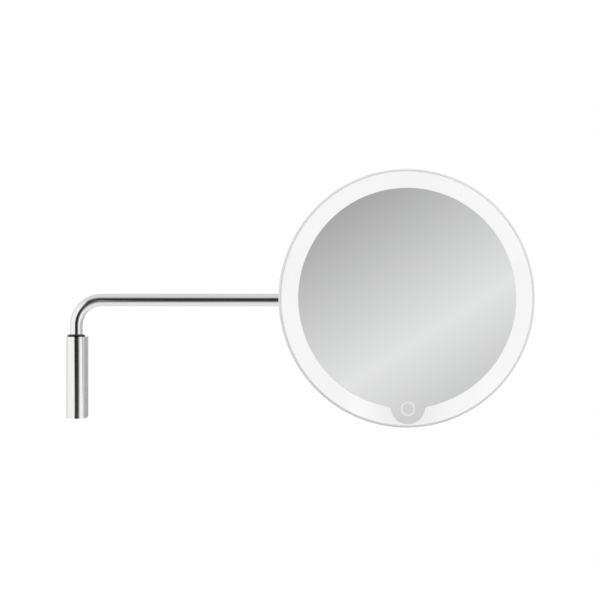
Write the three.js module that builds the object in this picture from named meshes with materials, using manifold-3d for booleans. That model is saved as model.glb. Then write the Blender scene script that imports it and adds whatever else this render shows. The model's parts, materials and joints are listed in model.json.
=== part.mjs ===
// Extendable shaving mirror: a lit round mirror on an arm that swings out from a wall mount.
// Millimetres, +Z up. The wall is the plane y = 0 and the room is on its -Y side. The origin is the
// centre of the wall plate's back face, and the folded arm runs along +X, parallel to the wall.
import * as THREE from 'three';
import { mergeVertices } from 'three/addons/utils/BufferGeometryUtils.js';
import Module from 'manifold-3d';

const wasm = await Module();
wasm.setup();

// --- Driving dimensions ---------------------------------------------------------------------------

const GAP = 0.2; // left between pieces that lie against each other
const RUNNING_GAP = 0.25; // radial, left between pieces that turn on each other
const FINE_SIDES = 20; // sides of a small round
const SCREW_SIDES = 12;
const PLATE_DEPTH = 4; // deeper than any plate that a screw goes through

// Wall mount
const HOUSING_RADIUS = 8;
const HOUSING_HEIGHT = 64.6;
const HOUSING_TOP = HOUSING_HEIGHT / 2;
const HOUSING_BOTTOM = -HOUSING_TOP;
const AXIS_Y = -10; // the swing axis and the arm lie this far in front of the wall
const BUSH_SEAT_RADIUS = 6.3;
const WEB_TOP = -11; // the web that the arm is bolted down to
const WEB_THICKNESS = 3;
const POCKET_FLOOR = HOUSING_BOTTOM + 3.5;
const PLATE_HALF_WIDTH = 6;
const PLATE_THICKNESS = 2.5;
const PLATE_TOP = 26.5;
const BOSS = { halfWidth: 4.5, height: 7, reach: 13.5 };
const COLLAR = { radius: 7, wall: 1.1, topRadius: 5.6, height: 1.8 };
const UPPER_BUSH_DEPTH = 12;
const LOWER_BUSH = { foot: -6, top: 4 };
const CLAMP_SCREW = { head: 3.2, headHeight: 1.5, shank: 1.8, length: 8.5, socket: 1.3 };
const CLAMP_SCREW_Y = -9;
const CLAMP_HOLE_RADIUS = 2.1;
const CLAMP_THREAD_RADIUS = 2;
const CLAMP_COUNTERBORE = { radius: 3.5, depth: 1.9 };
const WALL_SCREW = { head: 3.6, headHeight: 1.9, shank: 1.9, length: 2.5, socket: 1.4, countersunk: true };
const WALL_SCREW_HEIGHTS = { upper: 18, lower: -12 };

// Arm
const TUBE_RADIUS = 5;
const TUBE_BORE_RADIUS = 3.5;
const BEND_RADIUS = 20;
const BEND_STEPS = 8;
const ARM_Z = HOUSING_TOP + 29.2;
const TUBE_FOOT_Z = -7;
const TUBE_END_X = 236;
const ARM_REACH = 258.8; // from the swing axis to the pin that the head turns on
const SPINDLE = { top: 11, threadFoot: 3, threadRadius: 2.7, flangeFoot: -9.3, flangeRadius: 4.9 };
const PIVOT_SCREW = { head: 4.4, headHeight: 3, shank: 2.5, length: 20.5, socket: 2 };
const PIVOT_HOLE_RADIUS = 2.8;
const BEARING_DISC_RADIUS = 6;
const PIVOT_WASHER = { radius: 5.5, thickness: 1 };
const SPRING_WASHER = { radius: 5.2, thickness: 0.9, dish: 0.5 };
const PIVOT_STACK = 6; // from the web's foot down to the underside of the pivot screw's head
const PLUG_DEPTH = 14;
const PLUG_COLLAR = 2.5;

// Knuckle between the arm and the head
const JOURNAL_RADIUS = 3.4;
const JOURNAL_END_X = 249;
const BARREL_RADIUS = 6.5;
const BARREL_START_X = 239.3;
const BARREL_END_X = 251.5;
const BARREL_EDGE = 0.5;
const SET_SCREW_X = 245.5;
const SET_SCREW = { radius: 1.5, length: 3, socket: 0.7, holeRadius: 1.7, depth: 0.3 };
const SET_SCREW_GROOVE = { mouth: 1.5, floor: 1.1 };
const RING_GROOVE = { start: 241.3, end: 243.1, depth: 0.7 };
const TONGUE_RADIUS = 5.4;
const TONGUE_HALF_THICKNESS = 2.6;
const PIN_RADIUS = 2;
const EAR_RADIUS = 5.6;
const EAR_INNER = 4;
const EAR_OUTER = 7.2;
const PIN_HEAD = { radius: 3.8, topRadius: 3.2, rim: 1.2, height: 1.8, socket: 1.4, socketDepth: 1.2 };
const PIN_TAIL = 2.6;
const NUT = { radius: 3.9, height: 2.4 };
const WASHER_RADIUS = 5;

// Head: y is measured from the turning pin, and a depth is measured back from the face
const HEAD_RADIUS = 100;
const HEAD_THICKNESS = 20;
const HEAD_SIDES = 48;
const HEAD_BACK_Y = -10.5;
const HEAD_FACE_Y = HEAD_BACK_Y - HEAD_THICKNESS;
const HEAD_RISE = 1.5; // the head's centre stands this far above the arm's axis
const HEAD_YAW = THREE.MathUtils.degToRad(5); // the head rests turned slightly away from the mount
const LIP_WIDTH = 2;
const LIP_DEPTH = 2.5;
const SHELL_THICKNESS = 1.8;
const SHELL_FLAT_RADIUS = 84; // the flat of the back; the edge rounds out from it to the lip
const SHELL_CURVE_STEPS = 5;
const MIRROR_RADIUS = 85;
const GLASS_THICKNESS = 3;
const GLASS_DEPTH = 0.3; // the glass and the diffuser sit just below the lip
const TAB_RADIUS = 13.2;
const TAB_DROP = 84;
const TAB_FILLET = 3.5;
const TOUCH_DROP = 85.5;
const TOUCH_RADIUS = 5;
const TOUCH_BAND = 1.7;
const TOUCH_DEPTH = 0.5;
const PAD = { radius: 76, near: 3.6, far: 4.4 };
const TOUCH_BOARD = { radius: 8, near: 3.6, far: 4.5 };
const TOUCH_SPRING = { near: 4.9, far: 7.3, turns: 3, radius: 1.6, wire: 0.25, drop: 87.5 };
const BRACKET = { halfWidth: 17, halfHeight: 12, corner: 4, nearY: -10.2, farY: -7.2 };
const BRACKET_SCREWS = { x: 12.5, z: 8 };
const BRACKET_SCREW = {
  head: 2.9, headHeight: 1.6, shank: 1.5, length: 7.6, socket: 1.1, countersunk: true,
};
const BACKING_PLATE = { halfWidth: 15.5, halfHeight: 11, corner: 2, thickness: 2, tapRadius: 1.7 };
const SHELL_SCREW_REACH = 60 * Math.SQRT1_2; // the four screws lie on a circle of radius 60
const SHELL_SCREW = {
  head: 2.9, headHeight: 1.4, shank: 1.3, length: 8, socket: 1.1, countersunk: true,
};
// A pan behind the glass: a middle floor that the mirror is glued to, and a deeper channel round it
// for the lights.
const TRAY = {
  floor: 4.7,
  floorBack: 6.2,
  channel: 9,
  channelBack: 10.5,
  inner: 82.5,
  outer: 97.2,
  outerBack: 95,
  wall: 1.5,
  bossRadius: 3.6,
  pilotRadius: 1.5,
  standoffRadius: 2.4,
  leadHoleRadius: 1.6,
};
const LED_COUNT = 24;
const LED_RADIUS = 89;
const LED_BOARD = { halfWidth: 3.8, near: 7.6, far: 8.8 };
const LED = { halfWidth: 1.5, halfLength: 1.7, rise: 0.9 };
const BOARD = { halfWidth: 28, halfHeight: 15, corner: 1.5, z: 37, near: 9, far: 10.6 };
// The blocks on the control board: their middles, half sizes and heights.
const BOARD_PARTS = [
  { x: -6, z: 1, halfX: 4, halfZ: 4, height: 1.2 }, // chip
  { x: 9, z: 2, halfX: 5, halfZ: 5, height: 3.5 }, // coil
  { x: -18, z: -9, halfX: 5, halfZ: 3, height: 3 }, // power socket
  { x: 0, z: 11, halfX: 3, halfZ: 2, height: 2.4 }, // light socket
];
const CELL_RADIUS = 5.1;
const CELL_LENGTH = 44.5;
const CELL_PITCH = 10.7;
const CELL_COUNT = 4;
const CELL_DEPTH = 12.7;
const CELL_EDGE = 0.6;
const CELL_SHOULDER = 1;
const CELL_TIP_RADIUS = 1.9;
const CONTACT = { x: 24, halfWidth: 3.5, halfThickness: 0.25 };
const CONTACT_BUMP = { radius: 2.2, topRadius: 1.2, height: 1 };
const LEAD_RADIUS = 0.7;
const TRAY_BOX = { halfWidth: 25.5, halfHeight: 23.5, near: 6.5, wall: 1 };
const TRAY_FLANGE = { halfWidth: 29.5, halfHeight: 30, corner: 4, near: 16.5, far: 17.2 };
const BATTERY_Z = -48;
const DOOR = { halfWidth: 27.5, halfHeight: 28.5, corner: 4, z: -50 };
const DOOR_THICKNESS = 1.6;
const DOOR_CLEARANCE = 0.3;
const DOOR_SCREW = { head: 2.3, headHeight: 1, shank: 1, length: 6, socket: 0.9, countersunk: true };
const DOOR_SCREW_Z = -75.6;
const DOOR_SCREW_BOSS = { radius: 2.8, length: 6, holeRadius: 1.2 };
const SEAL_WIDTH = 1.4;

// --- Finishes -------------------------------------------------------------------------------------

const finish = (color, roughness, metalness) =>
  new THREE.MeshStandardMaterial({ color, roughness, metalness });

const polishedSteel = finish(0xc9cac9, 0.12, 1);
const satinSilver = finish(0xd2d4d5, 0.45, 0.5);
const plainSteel = finish(0x8d9092, 0.4, 1);
const brass = finish(0xb8924a, 0.35, 1);
const blackPlastic = finish(0x16171a, 0.5, 0);
const glossBlack = finish(0x0c0c0e, 0.2, 0);
const whitePlastic = finish(0xe8e8e6, 0.5, 0);
const opal = finish(0xf6f6f6, 0.45, 0);
const silvered = finish(0xd4d6d7, 0.03, 1);
const blackRubber = finish(0x202124, 0.85, 0);
const foam = finish(0x3a3c40, 0.95, 0);
const boardGreen = finish(0x1d5136, 0.45, 0);
const boardWhite = finish(0xdedfda, 0.5, 0);
const cellWrap = finish(0x4a6f92, 0.4, 0.1);
const nickel = finish(0xa9a69d, 0.3, 1);
const redWire = finish(0x9c2420, 0.5, 0);
const blackWire = finish(0x1b1b1d, 0.5, 0);

// --- Joining and cutting --------------------------------------------------------------------------

function toSolid(geometry) {
  const bare = geometry.clone();
  bare.deleteAttribute('normal');
  bare.deleteAttribute('uv');
  const merged = mergeVertices(bare, 1e-4);
  return new wasm.Manifold(new wasm.Mesh({
    numProp: 3,
    vertProperties: new Float32Array(merged.attributes.position.array),
    triVerts: new Uint32Array(merged.index.array),
  }));
}

function toGeometry(solid) {
  const { vertProperties, triVerts } = solid.getMesh();
  const geometry = new THREE.BufferGeometry();
  geometry.setAttribute('position', new THREE.BufferAttribute(vertProperties, 3));
  geometry.setIndex(new THREE.BufferAttribute(triVerts, 1));
  geometry.computeVertexNormals();
  return geometry;
}

function join(...geometries) {
  return toGeometry(geometries.map(toSolid).reduce((whole, piece) => whole.add(piece)));
}

function cut(geometry, ...tools) {
  return toGeometry(tools.map(toSolid).reduce((whole, tool) => whole.subtract(tool), toSolid(geometry)));
}

// --- Basic shapes ---------------------------------------------------------------------------------

// Turns a profile of [radius, height] points about Z, counter-clockwise in that plane.
function turned(profile, sides = FINE_SIDES) {
  const points = profile.map(([radius, height]) => new THREE.Vector2(radius, height));
  return new THREE.LatheGeometry(points, sides).rotateX(Math.PI / 2);
}

const turnedAboutX = (profile, sides) => turned(profile, sides).rotateY(Math.PI / 2);

// Turns a profile of [radius, depth] points about the head's own axis, which runs along Y.
function turnedInHead(profile, sides = HEAD_SIDES) {
  const points = profile.map(([radius, depth]) => new THREE.Vector2(radius, HEAD_FACE_Y + depth));
  return new THREE.LatheGeometry(points, sides);
}

const ringProfile = (inner, outer, bottom, top) =>
  [[inner, bottom], [outer, bottom], [outer, top], [inner, top], [inner, bottom]];

const ring = (inner, outer, bottom, top, sides) => turned(ringProfile(inner, outer, bottom, top), sides);

const disc = (radius, bottom, top, sides) =>
  turned([[0, bottom], [radius, bottom], [radius, top], [0, top]], sides);

// A box between two corners.
function block(low, high) {
  const size = high.map((value, axis) => value - low[axis]);
  const middle = high.map((value, axis) => (value + low[axis]) / 2);
  return new THREE.BoxGeometry(...size).translate(...middle);
}

function extrudeUp(shape, bottom, top, curveSegments = FINE_SIDES / 2) {
  const options = { depth: top - bottom, bevelEnabled: false, curveSegments };
  return new THREE.ExtrudeGeometry(shape, options).translate(0, 0, bottom);
}

// A flat piece of the head. The shape is drawn in X and Z, and fills the depths from near to far.
function slab(shape, near, far, curveSegments = FINE_SIDES / 2) {
  return extrudeUp(shape, -far, -near, curveSegments).rotateX(Math.PI / 2).translate(0, HEAD_FACE_Y, 0);
}

// A round rod that runs through the head's depth at a place on its face.
const rodInHead = (radius, near, far, x, z, sides = SCREW_SIDES) =>
  disc(radius, -far, -near, sides).rotateX(Math.PI / 2).translate(x, HEAD_FACE_Y, z);

function roundedRectangle(halfWidth, halfHeight, corner, centreZ = 0) {
  const shape = new THREE.Shape();
  const right = halfWidth - corner;
  const top = centreZ + halfHeight - corner;
  const bottom = centreZ - halfHeight + corner;
  shape.absarc(right, top, corner, 0, Math.PI / 2);
  shape.absarc(-right, top, corner, Math.PI / 2, Math.PI);
  shape.absarc(-right, bottom, corner, Math.PI, Math.PI * 1.5);
  shape.absarc(right, bottom, corner, Math.PI * 1.5, Math.PI * 2);
  shape.closePath();
  return shape;
}

function circle(radius, x = 0, y = 0) {
  const shape = new THREE.Shape();
  shape.absarc(x, y, radius, 0, Math.PI * 2);
  return shape;
}

// --- Screws ---------------------------------------------------------------------------------------

const hexSocket = (radius, depth) => disc(radius, -depth, 1, 6);

// A screw along Z with the top of its head at the origin. A countersunk head tapers to the shank.
function screw({ head, headHeight, shank, length, socket, countersunk = false }) {
  const rim = countersunk ? 0.3 : headHeight;
  const profile = [[0, -length], [shank, -length], [shank, -headHeight]];
  profile.push([head, -rim], [head, 0], [0, 0]);
  return cut(turned(profile, SCREW_SIDES), hexSocket(socket, headHeight * 0.6));
}

// The tapered hole that a countersunk screw sits in, with its mouth at the origin.
function screwSeat({ head, headHeight, shank }) {
  const outer = head + 0.4;
  const hole = shank + 0.3;
  const foot = -PLATE_DEPTH;
  const profile = [[0, foot], [hole, foot], [hole, -headHeight], [outer, -0.3], [outer, 1], [0, 1]];
  return turned(profile, SCREW_SIDES);
}

function grubScrew({ radius, length, socket }) {
  const profile = [[0, -length], [radius * 0.6, -length], [radius, -length + 0.5], [radius, 0], [0, 0]];
  return cut(turned(profile, SCREW_SIDES), hexSocket(socket, length * 0.4));
}

// --- Scene ----------------------------------------------------------------------------------------

const mirror = new THREE.Group();

function place(parent, name, geometry, material, position = [0, 0, 0], rotation = [0, 0, 0]) {
  const mesh = new THREE.Mesh(geometry, material);
  mesh.name = name;
  mesh.position.set(...position);
  mesh.rotation.set(...rotation);
  parent.add(mesh);
}

const FACING_ROOM = [Math.PI / 2, 0, 0]; // turns a screw's head towards -Y
const FACING_WALL = [-Math.PI / 2, 0, 0];
const FACING_DOWN = [Math.PI, 0, 0];

// --- Wall mount -----------------------------------------------------------------------------------

// Round at the front about the swing axis, with straight sides that run back to the wall.
function housingOutline(radius, back = 0) {
  const shape = new THREE.Shape();
  shape.moveTo(-radius, back);
  shape.lineTo(-radius, AXIS_Y);
  shape.absarc(0, AXIS_Y, radius, Math.PI, Math.PI * 2);
  shape.lineTo(radius, back);
  shape.closePath();
  return shape;
}

function mountHousing() {
  const bar = extrudeUp(housingOutline(HOUSING_RADIUS), HOUSING_BOTTOM, HOUSING_TOP);
  const bushBore = disc(BUSH_SEAT_RADIUS, WEB_TOP, HOUSING_TOP + 1).translate(0, AXIS_Y, 0);
  const webHole = disc(PIVOT_HOLE_RADIUS, WEB_TOP - WEB_THICKNESS - 1, WEB_TOP + 1)
    .translate(0, AXIS_Y, 0);
  const pocketRadius = PLATE_HALF_WIDTH + GAP;
  const pocket = extrudeUp(housingOutline(pocketRadius, 1), POCKET_FLOOR, WEB_TOP - WEB_THICKNESS);
  const plateRecess = block(
    [-pocketRadius, -PLATE_THICKNESS - GAP, POCKET_FLOOR],
    [pocketRadius, 1, PLATE_TOP + GAP],
  );
  const clampHole = disc(CLAMP_HOLE_RADIUS, HOUSING_BOTTOM - 1, POCKET_FLOOR + 1)
    .translate(0, CLAMP_SCREW_Y, 0);
  const { radius, depth } = CLAMP_COUNTERBORE;
  const clampCounterbore = disc(radius, HOUSING_BOTTOM - 1, HOUSING_BOTTOM + depth)
    .translate(0, CLAMP_SCREW_Y, 0);
  return cut(bar, bushBore, webHole, pocket, plateRecess, clampHole, clampCounterbore);
}

// A back plate with a boss at its foot, which the housing is clamped down to from below.
function wallPlate() {
  const foot = POCKET_FLOOR + GAP;
  const plate = block([-PLATE_HALF_WIDTH, -PLATE_THICKNESS, foot], [PLATE_HALF_WIDTH, 0, PLATE_TOP]);
  const bossTop = foot + BOSS.height;
  const boss = block([-BOSS.halfWidth, -BOSS.reach, foot], [BOSS.halfWidth, -1, bossTop]);
  const clampHole = disc(CLAMP_THREAD_RADIUS, foot - 1, bossTop + 1).translate(0, CLAMP_SCREW_Y, 0);
  const screwHoles = Object.values(WALL_SCREW_HEIGHTS).map((height) =>
    screwSeat(WALL_SCREW).rotateX(Math.PI / 2).translate(0, -PLATE_THICKNESS, height));
  return cut(join(plate, boss), clampHole, ...screwHoles);
}

function buildWallMount() {
  place(mirror, 'mount_housing', mountHousing(), polishedSteel);
  place(mirror, 'wall_plate', wallPlate(), plainSteel);
  for (const [level, height] of Object.entries(WALL_SCREW_HEIGHTS)) {
    const top = [0, -PLATE_THICKNESS, height];
    place(mirror, `wall_screw_${level}`, screw(WALL_SCREW), plainSteel, top, FACING_ROOM);
  }
  const clampPlace = [0, CLAMP_SCREW_Y, HOUSING_BOTTOM + GAP];
  place(mirror, 'housing_clamp_screw', screw(CLAMP_SCREW), plainSteel, clampPlace, FACING_DOWN);

  const bushInner = TUBE_RADIUS + RUNNING_GAP;
  const bushOuter = BUSH_SEAT_RADIUS - GAP;
  const bushFoot = HOUSING_TOP - UPPER_BUSH_DEPTH;
  const collarFoot = HOUSING_TOP + GAP;
  const collarTop = collarFoot + COLLAR.height;
  const upperBush = turned([
    [bushInner, bushFoot],
    [bushOuter, bushFoot],
    [bushOuter, collarFoot],
    [COLLAR.radius, collarFoot],
    [COLLAR.radius, collarFoot + COLLAR.wall],
    [COLLAR.topRadius, collarTop],
    [bushInner, collarTop],
    [bushInner, bushFoot],
  ]);
  place(mirror, 'upper_bush', upperBush, glossBlack, [0, AXIS_Y, 0]);
  const lowerBush = ring(bushInner, bushOuter, LOWER_BUSH.foot, LOWER_BUSH.top);
  place(mirror, 'lower_bush', lowerBush, blackPlastic, [0, AXIS_Y, 0]);
}

// --- Arm ------------------------------------------------------------------------------------------

// The tube's centre line: up the leg, round the bend and out along the run. Its parameter counts
// stations rather than length, so that all but two of them fall in the bend.
class ArmCurve extends THREE.Curve {
  static stations = BEND_STEPS + 2;

  getPoint(t, target = new THREE.Vector3()) {
    const station = t * ArmCurve.stations;
    const bendStart = ARM_Z - BEND_RADIUS;
    if (station < 1) {
      return target.set(0, 0, THREE.MathUtils.lerp(TUBE_FOOT_Z, bendStart, station));
    }
    if (station > BEND_STEPS + 1) {
      const along = station - BEND_STEPS - 1;
      return target.set(THREE.MathUtils.lerp(BEND_RADIUS, TUBE_END_X, along), 0, ARM_Z);
    }
    const angle = ((station - 1) / BEND_STEPS) * (Math.PI / 2);
    const x = BEND_RADIUS * (1 - Math.cos(angle));
    return target.set(x, 0, bendStart + BEND_RADIUS * Math.sin(angle));
  }

  getUtoTmapping(u) {
    return u;
  }
}

function armTube() {
  const section = circle(TUBE_RADIUS);
  section.holes.push(circle(TUBE_BORE_RADIUS));
  return new THREE.ExtrudeGeometry(section, {
    steps: ArmCurve.stations,
    extrudePath: new ArmCurve(),
    curveSegments: FINE_SIDES / 2,
  });
}

function buildArm() {
  const arm = new THREE.Group();
  arm.position.y = AXIS_Y;
  mirror.add(arm);
  place(arm, 'arm_tube', armTube(), polishedSteel);

  const plugRadius = TUBE_BORE_RADIUS - GAP;
  const flangeTop = TUBE_FOOT_Z - GAP;
  const spindle = turned([
    [0, SPINDLE.threadFoot],
    [SPINDLE.threadRadius, SPINDLE.threadFoot],
    [SPINDLE.threadRadius, SPINDLE.flangeFoot],
    [SPINDLE.flangeRadius, SPINDLE.flangeFoot],
    [SPINDLE.flangeRadius, flangeTop],
    [plugRadius, flangeTop],
    [plugRadius, SPINDLE.top],
    [0, SPINDLE.top],
  ]);
  place(arm, 'arm_spindle', spindle, brass);

  const webFoot = WEB_TOP - WEB_THICKNESS;
  const bearingDisc = ring(
    PIVOT_HOLE_RADIUS,
    BEARING_DISC_RADIUS,
    WEB_TOP + GAP,
    SPINDLE.flangeFoot - GAP,
  );
  place(arm, 'pivot_bearing_disc', bearingDisc, blackPlastic);
  const washerTop = webFoot - GAP;
  const washerFoot = washerTop - PIVOT_WASHER.thickness;
  const washer = ring(PIVOT_HOLE_RADIUS, PIVOT_WASHER.radius, washerFoot, washerTop);
  place(arm, 'pivot_washer', washer, brass);
  const springTop = washerFoot - GAP;
  const springFoot = springTop - SPRING_WASHER.thickness;
  const springWasher = turned([
    [PIVOT_HOLE_RADIUS, springFoot],
    [SPRING_WASHER.radius, springFoot - SPRING_WASHER.dish],
    [SPRING_WASHER.radius, springTop - SPRING_WASHER.dish],
    [PIVOT_HOLE_RADIUS, springTop],
    [PIVOT_HOLE_RADIUS, springFoot],
  ]);
  place(arm, 'pivot_spring_washer', springWasher, plainSteel);
  const pivotPlace = [0, 0, webFoot - PIVOT_STACK];
  place(arm, 'pivot_screw', screw(PIVOT_SCREW), plainSteel, pivotPlace, FACING_DOWN);

  // The end plug is pressed into the tube and carries the journal that the knuckle turns on.
  const plugStart = TUBE_END_X - PLUG_DEPTH;
  const collarStart = TUBE_END_X + GAP;
  const collarEnd = collarStart + PLUG_COLLAR;
  const grooveRadius = JOURNAL_RADIUS - RING_GROOVE.depth;
  const endPlug = turnedAboutX([
    [0, plugStart],
    [plugRadius, plugStart],
    [plugRadius, collarStart],
    [TUBE_RADIUS, collarStart],
    [TUBE_RADIUS, collarEnd],
    [JOURNAL_RADIUS, collarEnd],
    [JOURNAL_RADIUS, RING_GROOVE.start],
    [grooveRadius, RING_GROOVE.start],
    [grooveRadius, RING_GROOVE.end],
    [JOURNAL_RADIUS, RING_GROOVE.end],
    [JOURNAL_RADIUS, SET_SCREW_X - SET_SCREW_GROOVE.mouth],
    [grooveRadius, SET_SCREW_X - SET_SCREW_GROOVE.floor],
    [grooveRadius, SET_SCREW_X + SET_SCREW_GROOVE.floor],
    [JOURNAL_RADIUS, SET_SCREW_X + SET_SCREW_GROOVE.mouth],
    [JOURNAL_RADIUS, JOURNAL_END_X],
    [0, JOURNAL_END_X],
  ]);
  place(arm, 'arm_end_plug', endPlug, polishedSteel, [0, 0, ARM_Z]);
  const frictionRing = turnedAboutX(ringProfile(
    grooveRadius + 0.05,
    JOURNAL_RADIUS + 0.1,
    RING_GROOVE.start + 0.1,
    RING_GROOVE.end - 0.1,
  ));
  place(arm, 'friction_ring', frictionRing, blackRubber, [0, 0, ARM_Z]);
}

// --- Knuckle --------------------------------------------------------------------------------------

// A cup that turns on the journal about the arm's axis, with a flat tongue for the turning pin.
function tiltBarrel() {
  const boreRadius = JOURNAL_RADIUS + RUNNING_GAP;
  const cup = turnedAboutX([
    [0, JOURNAL_END_X + 0.5],
    [boreRadius, JOURNAL_END_X + 0.5],
    [boreRadius, BARREL_START_X],
    [BARREL_RADIUS - BARREL_EDGE, BARREL_START_X],
    [BARREL_RADIUS, BARREL_START_X + BARREL_EDGE],
    [BARREL_RADIUS, BARREL_END_X - BARREL_EDGE],
    [BARREL_RADIUS - BARREL_EDGE, BARREL_END_X],
    [0, BARREL_END_X],
  ]);
  const outline = new THREE.Shape();
  outline.moveTo(BARREL_END_X - 1, -TONGUE_RADIUS);
  outline.lineTo(ARM_REACH, -TONGUE_RADIUS);
  outline.absarc(ARM_REACH, 0, TONGUE_RADIUS, -Math.PI / 2, Math.PI / 2);
  outline.lineTo(BARREL_END_X - 1, TONGUE_RADIUS);
  outline.closePath();
  outline.holes.push(circle(PIN_RADIUS + RUNNING_GAP, ARM_REACH));
  const tongue = extrudeUp(outline, -TONGUE_HALF_THICKNESS, TONGUE_HALF_THICKNESS);
  const screwHole = disc(SET_SCREW.holeRadius, 0, BARREL_RADIUS + 1, SCREW_SIDES)
    .rotateX(-Math.PI / 2)
    .translate(SET_SCREW_X, 0, 0);
  return cut(join(cup, tongue), screwHole);
}

function buildKnuckle() {
  const knuckle = new THREE.Group();
  knuckle.position.set(0, AXIS_Y, ARM_Z);
  mirror.add(knuckle);
  place(knuckle, 'tilt_barrel', tiltBarrel(), polishedSteel);
  const screwTop = [SET_SCREW_X, BARREL_RADIUS - SET_SCREW.depth, 0];
  place(knuckle, 'barrel_set_screw', grubScrew(SET_SCREW), plainSteel, screwTop, FACING_WALL);
}

// --- Head: hinge ----------------------------------------------------------------------------------

const head = new THREE.Group();
head.position.set(ARM_REACH, AXIS_Y, ARM_Z);
head.rotation.z = HEAD_YAW;
mirror.add(head);

// The disc of the head is centred a little above the pin.
const disk = new THREE.Group();
disk.position.z = HEAD_RISE;
head.add(disk);

const corners = (x, z) => [[x, z], [-x, z], [-x, -z], [x, -z]];

function hingeBracket() {
  const { halfWidth, halfHeight, corner, nearY, farY } = BRACKET;
  const pad = extrudeUp(roundedRectangle(halfWidth, halfHeight, corner), -farY, -nearY)
    .rotateX(Math.PI / 2);
  const outline = new THREE.Shape();
  outline.moveTo(-EAR_RADIUS, farY - 1);
  outline.lineTo(EAR_RADIUS, farY - 1);
  outline.absarc(0, 0, EAR_RADIUS, 0, Math.PI);
  outline.closePath();
  outline.holes.push(circle(PIN_RADIUS + RUNNING_GAP));
  const ears = [extrudeUp(outline, EAR_INNER, EAR_OUTER), extrudeUp(outline, -EAR_OUTER, -EAR_INNER)];
  const seats = corners(BRACKET_SCREWS.x, BRACKET_SCREWS.z).map(([x, z]) =>
    screwSeat(BRACKET_SCREW).rotateX(-Math.PI / 2).translate(x, farY, z));
  return cut(join(pad, ...ears), ...seats);
}

function buildHinge() {
  place(head, 'hinge_bracket', hingeBracket(), polishedSteel);
  corners(BRACKET_SCREWS.x, BRACKET_SCREWS.z).forEach(([x, z], index) => {
    const top = [x, BRACKET.farY, z];
    place(head, `bracket_screw_${index + 1}`, screw(BRACKET_SCREW), plainSteel, top, FACING_WALL);
  });

  const { halfWidth, halfHeight, corner, thickness, tapRadius } = BACKING_PLATE;
  const backing = extrudeUp(roundedRectangle(halfWidth, halfHeight, corner), 0, thickness)
    .rotateX(Math.PI / 2);
  const tapped = corners(BRACKET_SCREWS.x, BRACKET_SCREWS.z).map(([x, z]) =>
    disc(tapRadius, -1, thickness + 1, SCREW_SIDES).rotateX(Math.PI / 2).translate(x, 0, z));
  const backingPlace = [0, HEAD_BACK_Y - SHELL_THICKNESS - GAP, 0];
  place(head, 'hinge_backing_plate', cut(backing, ...tapped), plainSteel, backingPlace);

  const nutTop = -EAR_OUTER - GAP;
  const headFoot = EAR_OUTER + GAP;
  const headTop = headFoot + PIN_HEAD.height;
  const pin = cut(
    turned([
      [0, nutTop - PIN_TAIL],
      [PIN_RADIUS, nutTop - PIN_TAIL],
      [PIN_RADIUS, headFoot],
      [PIN_HEAD.radius, headFoot],
      [PIN_HEAD.radius, headFoot + PIN_HEAD.rim],
      [PIN_HEAD.topRadius, headTop],
      [0, headTop],
    ]),
    hexSocket(PIN_HEAD.socket, PIN_HEAD.socketDepth).translate(0, 0, headTop),
  );
  place(head, 'hinge_pin', pin, plainSteel);
  const nutFoot = nutTop - NUT.height;
  const nut = cut(disc(NUT.radius, nutFoot, nutTop, 6), disc(PIN_RADIUS + GAP, nutFoot - 1, nutTop + 1));
  place(head, 'hinge_nut', nut, plainSteel);
  const washerInner = TONGUE_HALF_THICKNESS + GAP;
  const washerOuter = EAR_INNER - GAP;
  const washerBore = PIN_RADIUS + RUNNING_GAP;
  const upperWasher = ring(washerBore, WASHER_RADIUS, washerInner, washerOuter);
  const lowerWasher = ring(washerBore, WASHER_RADIUS, -washerOuter, -washerInner);
  place(head, 'hinge_washer_upper', upperWasher, blackPlastic);
  place(head, 'hinge_washer_lower', lowerWasher, blackPlastic);
}

// --- Head: glass and light ------------------------------------------------------------------------

// Points along an arc, from the start angle to the end angle in equal steps.
function arc(x, y, radius, start, end, steps) {
  return Array.from({ length: steps + 1 }, (_, index) => {
    const angle = start + ((end - start) * index) / steps;
    return new THREE.Vector2(x + radius * Math.cos(angle), y + radius * Math.sin(angle));
  });
}

// The mirror's outline: a circle with a round tab below it, blended by two hollow fillets. A positive
// margin gives the outline of the hole that the mirror sits in.
function mirrorOutline(margin = 0) {
  const main = MIRROR_RADIUS + margin;
  const tab = TAB_RADIUS + margin;
  const fillet = TAB_FILLET - margin;
  // The fillet's centre, from the triangle between the three centres.
  const below = ((main + fillet) ** 2 - (tab + fillet) ** 2 + TAB_DROP ** 2) / (2 * TAB_DROP);
  const aside = Math.sqrt((main + fillet) ** 2 - below ** 2);
  const steep = Math.atan2(below, aside);
  const shallow = Math.atan2(below - TAB_DROP, aside);
  return [
    ...arc(0, 0, main, -steep, Math.PI + steep, HEAD_SIDES),
    ...arc(-aside, -below, fillet, steep, shallow, 4).slice(1, -1),
    ...arc(0, -TAB_DROP, tab, Math.PI + shallow, Math.PI * 2 - shallow, 12),
    ...arc(aside, -below, fillet, Math.PI - shallow, Math.PI - steep, 4).slice(1, -1),
  ];
}

function mirrorGlass() {
  const glass = slab(new THREE.Shape(mirrorOutline()), GLASS_DEPTH, GLASS_DEPTH + GLASS_THICKNESS);
  const groove = ring(
    TOUCH_RADIUS - TOUCH_BAND / 2 - GAP,
    TOUCH_RADIUS + TOUCH_BAND / 2 + GAP,
    -GLASS_DEPTH - TOUCH_DEPTH - GAP,
    1,
  );
  return cut(glass, groove.rotateX(Math.PI / 2).translate(0, HEAD_FACE_Y, -TOUCH_DROP));
}

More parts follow.
